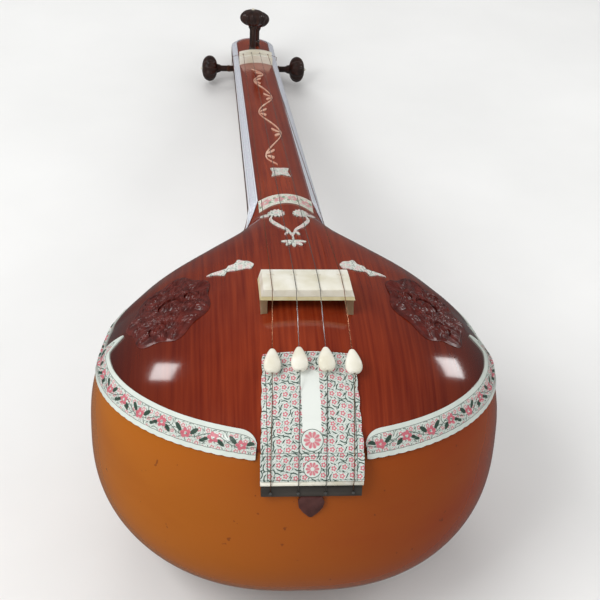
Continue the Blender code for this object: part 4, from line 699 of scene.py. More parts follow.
@dataclass(frozen=True)
class EngravedPlate(Finish):
    """The tail plate: ivory-coloured, with round flowers down its middle and flowering edges."""

    flower: Colour = srgb(204, 116, 126)
    leaf: Colour = srgb(62, 84, 74)
    plain: Colour = srgb(226, 230, 224)
    cell: float = 0.0092
    strip: float = 0.0102
    strip_start: float = 0.0200
    strip_end: float = 0.0870
    edge: float = 0.0438
    lines: Sequence[float] = (0.0020, 0.1085, 0.1115, 0.1350)
    roses: Sequence[tuple[float, float]] = ((0.0957, 0.0088), (0.1240, 0.0070))

    def material(self) -> bpy.types.Material:
        """UV is in metres: u across from the middle, v down from the top edge."""
        made, g, shader = self.start()
        u, v, _ = g.split(g.node("ShaderNodeUVMap", uv_map="surface").outputs[0])
        place = g.node("ShaderNodeTexCoord").outputs["Object"]
        colour = g.mix(g.noise(place, 60.0, 4.0), self.dark, self.light)
        fine = g.node("ShaderNodeGroup", node_tree=bpy.data.node_groups["filigree"])
        both = g.node("ShaderNodeCombineXYZ")
        g.link(u, both.inputs[0])
        g.link(v, both.inputs[1])
        g.link(both.outputs[0], fine.inputs["Place"])
        fine.inputs["Cell"].default_value = self.cell
        out = g.math("ABSOLUTE", u)
        lobes = g.math("MULTIPLY", g.math("ABSOLUTE", g.math("SINE", g.math("MULTIPLY", v, 330.0))), 0.0008)
        bare = g.math("MULTIPLY", g.inside(out, g.math("SUBTRACT", self.strip, lobes), 0.0004),
                      g.inside(v, self.strip_end, 0.0004))
        bare = g.math("MULTIPLY", bare, g.inside(g.math("MULTIPLY_ADD", out, 0.5, self.strip_start), v, 0.0004))
        filled = g.math("SUBTRACT", 1.0, bare)
        flower = g.math("MULTIPLY", fine.outputs["Flower"], filled)
        leaf = g.math("MULTIPLY", fine.outputs["Leaf"], filled)
        rings = g.math("MULTIPLY", g.math("MULTIPLY", fine.outputs["Line"], filled), 0.8)
        rings = g.math("MAXIMUM", rings, g.inside(g.math("ABSOLUTE", g.math("SUBTRACT", out, self.edge)),
                                                  0.0005, 0.0003))
        for line in self.lines:
            rings = g.math("MAXIMUM", rings, g.inside(g.math("ABSOLUTE", g.math("SUBTRACT", v, line)),
                                                      0.0004, 0.0003))
        for centre, radius in self.roses:
            down = g.math("SUBTRACT", v, centre)
            far = g.math("SQRT", g.math("ADD", g.math("MULTIPLY", u, u), g.math("MULTIPLY", down, down)))
            turn = g.math("ARCTAN2", down, u)
            clear = g.math("SUBTRACT", 1.0, g.inside(far, radius * 1.3, 0.0004))
            flower, leaf, rings = (g.math("MULTIPLY", value, clear) for value in (flower, leaf, rings))
            petals = g.math("ABSOLUTE", g.math("COSINE", g.math("MULTIPLY", turn, 5.0)))
            reach = g.math("MULTIPLY_ADD", petals, radius * 0.22, radius * 0.78)
            rose = g.math("MULTIPLY", g.inside(far, reach, 0.0005), g.inside(radius * 0.25, far, 0.0005))
            rose = g.math("MULTIPLY", rose, g.math("MULTIPLY_ADD", petals, 0.55, 0.45))
            flower = g.math("MAXIMUM", flower, rose)
            rings = g.math("MAXIMUM", rings, g.inside(g.math("ABSOLUTE", g.math("SUBTRACT", far, radius * 1.22)),
                                                      0.0005, 0.0003))
        colour = g.mix(bare, colour, self.plain)
        colour = g.mix(leaf, colour, self.leaf)
        colour = g.mix(flower, colour, self.flower)
        colour = g.mix(rings, colour, self.leaf)
        g.link(colour, shader.inputs["Base Color"])
        self.relief(g, shader, g.math("MULTIPLY", g.math("ADD", leaf, g.math("ADD", flower, rings)), -1.0))
        return made


@dataclass(frozen=True)
class EngravedInlay(Finish):
    """A pale inlay with fine engraving over it."""

    line: Colour = srgb(96, 112, 110)
    tint: Colour = srgb(206, 150, 156)
    cell: float = 0.0095

    def material(self) -> bpy.types.Material:
        """The filigree lies on the object's own X and Y."""
        made, g, shader = self.start()
        place = g.node("ShaderNodeTexCoord").outputs["Object"]
        fine = g.node("ShaderNodeGroup", node_tree=bpy.data.node_groups["filigree"])
        g.link(place, fine.inputs["Place"])
        fine.inputs["Cell"].default_value = self.cell
        colour = g.mix(g.noise(place, 90.0, 4.0), self.dark, self.light)
        colour = g.mix(g.math("MULTIPLY", fine.outputs["Leaf"], 0.7), colour, self.line)
        colour = g.mix(g.math("MULTIPLY", fine.outputs["Line"], 0.6), colour, self.line)
        colour = g.mix(g.math("MULTIPLY", fine.outputs["Flower"], 0.7), colour, self.tint)
        g.link(colour, shader.inputs["Base Color"])
        cut = g.math("ADD", fine.outputs["Leaf"], fine.outputs["Line"])
        self.relief(g, shader, g.math("MULTIPLY", cut, -1.0))
        return made


FINISHES: dict[str, Finish] = {
    "board": BoardLacquer("board_lacquer", (0.135, 0.0110, 0.0030), (0.270, 0.036, 0.009), 0.12, 0.35, bump=0.10),
    # face: its darker rim colour towards the edges is painted shade on the rounded face
    "face": BoardLacquer("face_lacquer_with_painted_shade", (0.180, 0.016, 0.0040), (0.300, 0.042, 0.010), 0.16, 0.10, bump=0.10,
                         rim=(0.090, 0.005, 0.001), rim_at=0.05),
    # gourd: amber varnish, with painted shade to one side and underneath
    "gourd": GourdSkin("gourd_varnish_with_painted_shade", srgb(146, 74, 8), srgb(178, 102, 14), 0.20, 0.35, bump=0.35),
    "neck": BoardLacquer("neck_varnish", (0.095, 0.012, 0.004), (0.185, 0.031, 0.010), 0.18, 0.25, bump=0.10,
                         rim=(0.070, 0.009, 0.004), rim_at=0.25),
    "carving": Finish("carved_wood", (0.042, 0.005, 0.004), (0.135, 0.018, 0.012), 0.34, 0.2, scale=120.0, bump=0.2),
    "peg": Finish("peg_wood", (0.010, 0.005, 0.004), (0.045, 0.020, 0.015), 0.30, 0.3,
                  stretch=(1.0, 1.0, 0.3), scale=90.0, bump=0.15),
    "ebony": Finish("ebony", (0.020, 0.017, 0.014), (0.060, 0.052, 0.044), 0.48, scale=140.0,
                    stretch=(0.1, 1.0, 1.0), bump=0.3),
    "maroon": Finish("maroon_wood", (0.060, 0.018, 0.016), (0.120, 0.042, 0.036), 0.42, scale=80.0, bump=0.2),
    "bone": Finish("bone", (0.66, 0.62, 0.48), (0.84, 0.82, 0.74), 0.32, 0.2, scale=45.0, bump=0.05),
    "creamy": Finish("creamy_bone", (0.60, 0.52, 0.27), (0.76, 0.70, 0.46), 0.36, 0.2, scale=70.0, bump=0.10),
    "inlay": EngravedInlay("inlay", srgb(206, 212, 202), srgb(232, 232, 222), 0.34, 0.3, bump=0.3),
    "vine": Finish("vine_inlay", srgb(206, 128, 104), srgb(236, 206, 182), 0.34, 0.3, scale=60.0, bump=0.2),
    "rim_band": PatternedBand("rim_band", srgb(192, 202, 194), srgb(220, 226, 218), 0.30, 0.4, bump=0.4,
                              width=0.0235, cell=0.0085),
    "neck_band": PatternedBand("neck_band", srgb(222, 226, 234), srgb(238, 240, 246), 0.30, 0.4, bump=0.4,
                               vine=Vine.FAINT, period=0.020, width=0.013, flower=srgb(196, 186, 204),
                               leaf=srgb(172, 184, 192), line=srgb(140, 146, 156)),
    "cross_band": PatternedBand("cross_band", srgb(214, 216, 202), srgb(232, 234, 222), 0.30, 0.4, bump=0.4,
                                period=0.017, width=0.027, flower=srgb(206, 150, 152), leaf=srgb(128, 150, 126),
                                line=srgb(120, 126, 112)),
    "plate": EngravedPlate("tail_plate", srgb(196, 206, 198), srgb(228, 233, 226), 0.28, 0.4, bump=0.4),
    "copper": Finish("copper_wire", (0.55, 0.24, 0.13), (0.72, 0.36, 0.22), 0.25, metallic=1.0, scale=200.0),
    "steel": Finish("steel_wire", (0.45, 0.44, 0.43), (0.65, 0.64, 0.62), 0.22, metallic=1.0, scale=200.0),
    "thread": Finish("cotton_thread", (0.62, 0.56, 0.45), (0.80, 0.75, 0.64), 0.9, scale=900.0, bump=0.4),
}
MADE: dict[str, bpy.types.Material] = {}


def finish(name: str) -> bpy.types.Material:
    """The named finish's material, made once."""
    if name not in MADE:
        MADE[name] = FINISHES[name].material()
    return MADE[name]


def dress(obj: bpy.types.Object, name: str) -> None:
    """Gives an object one finish, in place of any it has."""
    if not obj.data.materials:
        obj.data.materials.append(finish(name))
    for place in obj.material_slots:
        place.material = finish(name)


def stand_for(obj: bpy.types.Object, nodes: Sequence[str], look: str, body: str = "instrument") -> None:
    """Dresses a new piece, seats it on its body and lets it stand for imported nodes."""
    dress(obj, look)
    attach(obj, body)
    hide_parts(*nodes)
    LOG.info("%s stands for %s", obj.name, ", ".join(nodes))


def spread(count: int) -> np.ndarray:
    """Shares of the half-width from -1 to 1, closer together towards the edges, as a sine."""
    return np.sin(np.linspace(-math.pi / 2, math.pi / 2, count))


def face_slab(name: str, ys: np.ndarray, shares: np.ndarray, low: float, high: float,
              uvs: bool = False, sharp: float = 40.0) -> bpy.types.Object:
    """The slice of space over the face from low to high, between the rows and columns given.

    Args:
        name: the new object's name.
        ys: its rows.
        shares: its columns, as shares of the half-width.
        low: its underside's height over the face.
        high: its top's height over the face.
        uvs: True for a UV in metres along it and across it from its middle.
        sharp: edges that turn by more than this many degrees stay sharp.

    Returns:
        The new object.
    """
    half = TANPURA.half_width(ys)[:, None]
    x = half * shares
    y = np.broadcast_to(ys[:, None], x.shape)
    z = TANPURA.face_z(x, y)
    top, bottom = np.stack([x, y, z + high], -1), np.stack([x, y, z + low], -1)
    loops = np.concatenate([top, bottom[:, ::-1]], axis=1)
    maps = None
    if uvs:
        middle = half * (shares[0] + shares[-1]) / 2
        one = np.stack([y, x - middle], -1)
        maps = np.concatenate([one, one[:, ::-1]], axis=1)
    return loft(name, loops, maps, sharp)


@dataclass(frozen=True)
class Body:
    """Gourd, collar, neck, soundboard and the neck's face."""

    rows: int = 150
    lower: int = 120
    upper: int = 36

    def shell(self, name: str, ys: np.ndarray, section: tuple[np.ndarray, ...]) -> bpy.types.Object:
        """Closed sections of |x/a|^n + |z/b|^n = 1, cut level with the underside of the face.

        Args:
            name: the new object's name.
            ys: its rows.
            section: half-width, middle, rise, fall and power at each row.

        Returns:
            The new object.
        """
        half, middle, rise, fall, power = (v[:, None] for v in section)
        lid = TANPURA.edge_z(ys)[:, None] - TANPURA.board_thickness - GAP
        level = np.clip((lid - middle) / np.maximum(rise, 1e-9), 0, 1) ** (power / 2)
        start = np.arcsin(level)
        down = np.linspace(0, 1, self.lower)[None, :]
        over = np.linspace(0, 1, self.upper)[None, 1:-1]
        angle = np.concatenate(
            [start - down * (math.pi + 2 * start), -math.pi - start - over * (math.pi - 2 * start)], axis=1
        )
        c, s = np.cos(angle), np.sin(angle)
        x = half * np.sign(c) * np.abs(c) ** (2 / power)
        reach = np.where(s > 0, rise, fall)
        z = middle + reach * np.sign(s) * np.abs(s) ** (2 / power)
        y = np.broadcast_to(ys[:, None], x.shape)
        z[:, self.lower:] = np.minimum(
            z[:, self.lower:],
            (TANPURA.face_z(x, y) - TANPURA.board_thickness - GAP)[:, self.lower:],
        )
        return loft(name, np.stack([x, y, z], -1), sharp=50.0)

    def cut_flat(self, obj: bpy.types.Object) -> None:
        """Presses what is below the floor up to it."""
        for vertex in obj.data.vertices:
            vertex.co.z = max(vertex.co.z, 0.0)

    def build(self) -> None:
        """Makes and dresses the five pieces."""
        t = TANPURA
        turns = np.linspace(0, math.pi, self.rows)
        ys = t.gourd_centre_y - t.gourd_half_length * np.cos(turns)
        ys = np.append(ys[(ys < t.collar_y) & (ys > t.gourd_centre_y - t.gourd_half_length * 0.99999)], t.collar_y)
        gourd = self.shell("gourd", ys, t.gourd_section(ys))
        collar_ys = np.linspace(t.collar_y + GAP, t.joint_y, 70)
        collar = self.shell("collar", collar_ys, t.collar_section(collar_ys))
        end = t.head_end_y - t.head_rounding
        rounded = end + t.head_rounding * np.sin(np.linspace(0, math.pi / 2 - 0.01, 24))
        neck_ys = np.concatenate([np.linspace(t.joint_y + GAP, t.joint_y + t.throat_length, 24),
                                  np.linspace(t.joint_y + t.throat_length, end, 30)[1:-1], rounded])
        neck = self.shell("neck", neck_ys, t.neck_section(neck_ys))
        for piece in (gourd, collar, neck):
            self.cut_flat(piece)
        stand_for(gourd, ["gourd_shell"], "gourd")
        stand_for(collar, ["shoulder_collar"], "neck")
        stand_for(neck, ["neck_shell"], "neck")
        reach = t.rim_centre_y - t.tail_y
        tail = t.rim_centre_y - reach * np.cos(np.linspace(0.02, math.pi / 2, 60))
        board_ys = np.concatenate([tail, np.linspace(t.rim_centre_y, t.joint_y, 90)[1:]])
        board = face_slab("board", board_ys, spread(97), -t.board_thickness, 0.0)
        stand_for(board, ["soundboard"], "board")
        face = face_slab("face", neck_ys, spread(33), -t.board_thickness, 0.0)
        stand_for(face, ["neck_face"], "face")


@dataclass(frozen=True)
class Bands:
    """The bands along the rim, the neck, the head and the joint."""

    thickness: float = 0.0014
    rim_start: float = 0.0540
    rim_skirt: float = 0.0115
    rim_flare: float = 0.0028
    strip_end_y: float = 0.086
    strip_narrow: float = 0.0030
    flange: float = 0.0085
    tip_y: float = -0.006
    tip_reach: float = 0.026
    scallop: float = 0.0009
    end_round: float = 0.018
    side_share: float = 0.756

    def rim(self, side: int, word: str) -> None:
        """One rim band: a flange on the board, a rounded edge and a skirt down the gourd.

        Its section is carried along the rim; the flange's reach is a monotone curve with a pointed peak.

        Args:
            side: 1 for the right and -1 for the left.
            word: the side's name.
        """
        t = TANPURA
        begin = math.asin(self.rim_start / t.rim_half_width)
        turns = np.linspace(begin, math.pi / 2, 130)
        ys = np.concatenate([t.rim_centre_y - t.rim_to_tail * np.cos(turns),
                             np.linspace(t.rim_centre_y, self.strip_end_y, 50)[1:]])
        half, edge = t.half_width(ys), t.edge_z(ys)
        dx, dy = np.gradient(half), np.gradient(ys)
        size = np.hypot(dx, dy)
        out = np.stack([dy / size, -dx / size], -1)
        reach = smooth(ys, ((self.tip_y - 0.045, self.flange), (self.tip_y - 0.012, self.flange * 1.2),
                            (self.tip_y, self.tip_reach), (self.tip_y + 0.012, self.strip_narrow * 1.5),
                            (self.tip_y + 0.03, self.strip_narrow)))
        length = np.concatenate([[0], np.cumsum(np.hypot(np.diff(half), np.diff(ys)))])
        reach = reach * np.sqrt(np.clip(1 - np.clip(1 - length / self.end_round, 0, 0.98) ** 2, 0, 1))
        wave = self.scallop * np.abs(np.sin(length * math.pi / 0.011))
        skirt = self.rim_skirt - self.scallop + wave
        steps = np.linspace(1, 0, 9)
        rows = []
        for share in steps:
            x, y = half - out[:, 0] * reach * share, ys - out[:, 1] * reach * share
            rows.append(np.stack([x, y, t.face_z(x, y) + 0.0020 * min(1.0, 0.55 + share)], -1))
        near = 0.0010 + self.thickness
        for drop in np.linspace(0.0, 1.0, 7):
            flare = near + self.rim_flare * drop**1.3
            rows.append(np.stack([half + out[:, 0] * flare, ys + out[:, 1] * flare, edge + 0.001 - skirt * drop], -1))
        outer = np.stack(rows, 1)
        back = outer[:, ::-1].copy()
        inward = np.concatenate([out * 0.0011, np.full((len(ys), 1), 0.0008)], -1)[:, None]
        back -= inward
        loops = np.concatenate([outer, back], axis=1)
        across = np.concatenate([[0], np.cumsum(np.linalg.norm(np.diff(outer[40], axis=0), axis=1))])
        across -= across[-1] / 2
        v = np.concatenate([across, across[::-1]])
        maps = np.stack(np.broadcast_arrays(length[:, None], v[None]), -1)
        loops[..., 0] *= side
        piece = loft(f"rim_{word}", loops, maps, 60.0)
        stand_for(piece, [f"rim_band_{word}"], "rim_band")

    def along_neck(self, side: int, word: str) -> None:
        """One of the bands along the neck's face, from a point on the shoulder to the nut."""
        t = TANPURA
        ys = np.concatenate([np.linspace(0.205, t.joint_y, 24), np.linspace(t.joint_y, t.nut_y, 40)[1:]])
        half = t.half_width(ys)[:, None]
        taper = np.clip((ys - 0.205) / (t.joint_y - 0.205), 0.02, 1)[:, None] ** 0.7
        shares = 1 - (1 - self.side_share) * taper * np.linspace(1, 0, 12)[None]
        x = side * half * shares
        y = np.broadcast_to(ys[:, None], x.shape)
        z = t.face_z(x, y)
        top = np.stack([x, y, z + GAP + self.thickness], -1)
        low = np.stack([x, y, z + GAP], -1)
        loops = np.concatenate([top, low[:, ::-1]], axis=1)
        middle = half * (1 - (1 - self.side_share) / 2)
        one = np.stack([y, (np.abs(x) - middle) * 1.35], -1)
        maps = np.concatenate([one, one[:, ::-1]], axis=1)
        piece = loft(f"neck_band_{word}", loops, maps, 50.0)
        stand_for(piece, [f"side_band_{word}"], "neck_band")

    def round_head(self) -> None:
        """The band round the head, carried along its outline; its width is that of the neck's bands."""
        t = TANPURA
        turns = np.linspace(0, math.pi, 60)
        centre = t.head_end_y - t.head_rounding
        width = t.nut_half_width * (1 - self.side_share)
        line_x = np.concatenate([np.full(24, t.nut_half_width), t.nut_half_width * np.cos(turns),
                                 np.full(24, -t.nut_half_width)])
        line_y = np.concatenate([np.linspace(t.nut_y + 0.001, centre, 24), centre + t.head_rounding * np.sin(turns),
                                 np.linspace(centre, t.nut_y + 0.001, 24)])
        inner_x = np.concatenate([np.full(24, t.nut_half_width - width), (t.nut_half_width - width) * np.cos(turns),
                                  np.full(24, width - t.nut_half_width)])
        inner_y = np.where(line_y > centre, centre + (line_y - centre) * (1 - width / t.head_rounding), line_y)
        share = np.linspace(0.02, 1, 9)[None]
        x = line_x[:, None] + (inner_x - line_x)[:, None] * share
        y = line_y[:, None] + (inner_y - line_y)[:, None] * share
        z = t.face_z(x, y)
        top = np.stack([x, y, z + GAP + self.thickness], -1)
        low = np.stack([x, y, z + GAP], -1)
        length = np.concatenate([[0], np.cumsum(np.hypot(np.diff(line_x), np.diff(line_y)))])
        one = np.stack(np.broadcast_arrays(length[:, None], (share - 0.5) * 0.012), -1)
        loops = np.concatenate([top, low[:, ::-1]], axis=1)
        piece = loft("head_edge", loops, np.concatenate([one, one[:, ::-1]], axis=1), 50.0)
        stand_for(piece, ["head_band"], "neck_band")

    def across_joint(self) -> None:
        """The strip across the face at the neck's joint."""
        ys = np.linspace(0.2194, 0.2474, 12)
        half = TANPURA.half_width(ys)[:, None]
        x = 0.0337 * np.linspace(-1, 1, 40)[None] * np.ones_like(half)
        y = np.broadcast_to(ys[:, None], x.shape)
        z = TANPURA.face_z(x, y)
        top, low = np.stack([x, y, z + 0.0013], -1), np.stack([x, y, z + GAP], -1)
        one = np.stack([x, y - ys.mean()], -1)
        piece = loft("joint_strip", np.concatenate([top, low[:, ::-1]], axis=1),
                     np.concatenate([one, one[:, ::-1]], axis=1), 50.0)
        stand_for(piece, ["cross_band"], "cross_band")

    def build(self) -> None:
        """Makes and dresses every band."""
        for side, word in ((-1, "left"), (1, "right")):
            self.rim(side, word)
            self.along_neck(side, word)
        self.round_head()
        self.across_joint()


@dataclass(frozen=True)
class Pegs:
    """Four pegs with carved, fluted knobs."""

    shaft: float = 0.0055
    radius: float = 0.0238
    thickness: float = 0.0286
    flutes: int = 12
    depth: float = 0.10

    def peg(self, name: str, node: str, body: str, place: Vector, way: Vector, standoff: float, inner: float) -> None:
        """One peg: a profile turned round its axis, its knob pressed in between its flutes.

        The knob's profile is r = R cos(a)^0.75, and each flute takes depth * cos(n turn)^2 of the radius.

        Args:
            name: the new object's name.
            node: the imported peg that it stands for.
            body: the body that it rides on.
            place: where its axis leaves the wood, in the world.
            way: the way its axis points out of the wood.
            standoff: from the wood to the middle of the knob.
            inner: how far it goes into the wood.
        """
        a = np.linspace(math.pi / 2 - 0.02, -math.pi / 2 + 0.25, 26)
        low = standoff - self.thickness / 2
        r = np.concatenate([self.radius * np.cos(a) ** 0.75, [0.0085, 0.0078, 0.0078, 0.0066, self.shaft, self.shaft]])
        z = np.concatenate([standoff + self.thickness / 2 * np.sin(a),
                            [low - 0.0005, low - 0.0015, low - 0.0035, low - 0.0055, low - 0.008, -inner]])
        turn = np.linspace(0, 2 * math.pi, 96, endpoint=False)
        share = np.concatenate([np.clip(np.sin(math.pi / 2 - a), 0, 1), np.zeros(6)])[:, None]
        flute = 1 - self.depth * share * np.abs(np.sin(turn * self.flutes / 2))[None] ** 1.5
        around = r[:, None] * flute
        local = np.stack([around * np.cos(turn), around * np.sin(turn), np.broadcast_to(z[:, None], around.shape)], -1)
        turned = np.array((Matrix.Translation(place) @ way.to_track_quat("Z", "Y").to_matrix().to_4x4()))
        points = local @ turned[:3, :3].T + turned[:3, 3]
        stand_for(loft(name, points, sharp=45.0, tipped=False), [node], "peg", body)

    def build(self) -> None:
        """Makes the pegs and dresses their buttons and windings."""
        joints = {j["name"]: j for j in frame["record"]["behaviour"]["joints"]}
        nodes = ("side_peg_left", "front_peg_near", "front_peg_far", "side_peg_right")
        for i, node in enumerate(nodes):
            joint = joints[f"peg_turn_{i + 1}"]
            place, way = Vector(joint["pos_m"]), Vector(joint["axis"]).normalized()
            low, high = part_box(node)
            corners = [Vector((x, y, z)) - place for x in (low[0], high[0]) for y in (low[1], high[1])
                       for z in (low[2], high[2])]
            if i in (0, 3):
                far = max(c.dot(way) for c in corners)
                near = min(c.dot(way) for c in corners)
            else:
                far, near = (0.0666, 0.0508)[i - 1] + 0.0145, -0.0435
            self.peg(f"peg_{i + 1}", node, f"peg_{i + 1}", place, way, far - 0.0145, -near)
            dress(frame["nodes"][f"peg_button_{i + 1}"], "bone")
            dress(frame["nodes"][f"string_winding_{i + 1}"], "copper" if i in (0, 3) else "steel")


@dataclass(frozen=True)
class Beads:
    """Teardrop beads on the strings."""

    length: float = 0.0278
    width: float = 0.0173
    thickness: float = 0.0109
    bore: float = 0.0016

    def build(self) -> None:
        """Turns each bead round its string: r = bore + swell, with swell = sin(pi t^0.62)^0.8, then flattens it."""
        joints = {j["name"]: j for j in frame["record"]["behaviour"]["joints"]}
        t = np.linspace(0, 1, 48)
        wall = self.bore + 0.0006
        r = wall + (self.width / 2 - wall) * np.sin(math.pi * t**0.62) ** 0.8
        r = np.append(r, [self.bore, self.bore])
        z = np.append(self.length * (t - 0.5), [0.5 * self.length, -0.5 * self.length])
        turn = np.linspace(0, 2 * math.pi, 64, endpoint=False)
        ring = np.stack([np.cos(turn), np.sin(turn) * self.thickness / self.width], -1)
        for i in range(4):
            joint = joints[f"bead_slide_{i + 1}"]
            place, way = Vector(joint["pos_m"]), Vector(joint["axis"]).normalized()
            across = Vector((1, 0, 0))
            normal = way.cross(across).normalized()
            across = normal.cross(way).normalized()
            basis = np.array((across, normal, way)).T
            local = np.concatenate([r[:, None, None] * ring[None],
                                    np.broadcast_to(z[:, None, None], (len(z), len(turn), 1))], -1)
            points = local @ basis.T + np.array(place)
            closed = np.swapaxes(points, 0, 1)
            piece = self.ring_solid(f"bead_{i + 1}", closed)
            stand_for(piece, [f"tuning_bead_{i + 1}"], "bone", f"bead_{i + 1}")

    def ring_solid(self, name: str, loops: np.ndarray) -> bpy.types.Object:
        """A closed ring of closed loops, so a bore goes through it.

        Args:
            name: the new object's name.
            loops: points as rows of loops, of which the last joins the first.

        Returns:
            The new object.
        """
        rows, columns = loops.shape[:2]
        index = np.arange(rows * columns).reshape(rows, columns)
        right, ahead = np.roll(index, -1, axis=1), np.roll(index, -1, axis=0)
        quads = np.stack([index, right, np.roll(right, -1, axis=0), ahead], -1).reshape(-1, 4)
        mesh = bpy.data.meshes.new(name)
        mesh.from_pydata(loops.reshape(-1, 3).tolist(), [], quads.tolist())
        bm = bmesh.new()
        bm.from_mesh(mesh)
        bmesh.ops.recalc_face_normals(bm, faces=bm.faces)
        if bm.calc_volume(signed=True) < 0:
            bmesh.ops.reverse_faces(bm, faces=bm.faces)
        bm.to_mesh(mesh)
        bm.free()
        mesh.shade_smooth()
        mesh.set_sharp_from_angle(angle=math.radians(50))
        obj = bpy.data.objects.new(name, mesh)
        bpy.context.scene.collection.objects.link(obj)
        return obj


@dataclass(frozen=True)
class Tail:
    """The tail plate, saddle, block and end."""

    top_y: float = -0.1133
    bend_y: float = -0.175
    crease_y: float = -0.1972
    crease_z: float = 0.0003
    top_half: float = 0.0469
    half: float = 0.0508
    thickness: float = 0.0030
    panel: float = 0.0249
    lean: float = 0.0095
    lobes: int = 5
    lobe_depth: float = 0.0012

    def under(self, x: np.ndarray, y: np.ndarray) -> np.ndarray:
        """Underside of the plate: on the board, then a bowed run out to the crease."""
        share = np.clip((y - self.bend_y) / (self.crease_y - self.bend_y), 0, 1)
        seat = TANPURA.face_z(x, np.maximum(y, self.bend_y)) + GAP
        low = self.crease_z - self.thickness
        return seat + (low - seat) * share + 0.0025 * 4 * share * (1 - share)

    def build(self) -> None:
        """Carries the plate's width down its bent line, with lobes along its sides."""
        ys = np.concatenate([np.linspace(self.top_y, self.bend_y, 60), np.linspace(self.bend_y, self.crease_y, 24)[1:]])
        share = (ys - self.top_y) / (self.crease_y - self.top_y)
        wave = self.lobe_depth * np.abs(np.sin(math.pi * self.lobes * share))
        half = self.top_half + (self.half - self.top_half) * share - self.lobe_depth + wave
        across = np.linspace(-1, 1, 41)
        x = half[:, None] * across
        y = np.broadcast_to(ys[:, None], x.shape)
        z = self.under(x, y)
        keep = slice(0, len(ys) - 1)
        top = np.stack([x, y, z + self.thickness], -1)[keep]
        low = np.stack([x, y, z + 0.0001], -1)[keep]
        drops = np.concatenate([[0.0], np.linspace(0.15, 1, 12)]) * self.panel
        px = np.broadcast_to(self.half * across, (len(drops), len(across)))
        py = np.broadcast_to((self.crease_y - self.lean * drops / self.panel)[:, None], px.shape)
        pz = np.broadcast_to((self.crease_z - drops)[:, None], px.shape)
        inner = np.stack([px, py + self.thickness, pz], -1)
        inner[0, :, 1:] = (self.crease_y + self.thickness * 0.8, self.crease_z - self.thickness)
        top = np.concatenate([top, np.stack([px, py, pz], -1)])
        low = np.concatenate([low, inner])
        loops = np.concatenate([top, low[:, ::-1]], axis=1)
        run = np.linalg.norm(np.diff(top[:, 20], axis=0), axis=1)
        v = np.concatenate([[0], np.cumsum(run)])
        one = np.stack(np.broadcast_arrays(top[..., 0], v[:, None]), -1)
        piece = loft("plate", loops, np.concatenate([one, one[:, ::-1]], axis=1), 30.0)
        stand_for(piece, ["tail_plate"], "plate")
        for node, slot, look in (("tail_saddle", "bone", "bone"), ("tail_block", "ebony", "ebony"),
                                 ("tail_end", "dark_wood", "maroon")):
            stand_for(copy_of(node, f"{node}_dressed"), [node], look)
        for i in range(4):
            dress(frame["nodes"][f"hitch_pin_{i + 1}"], "steel")


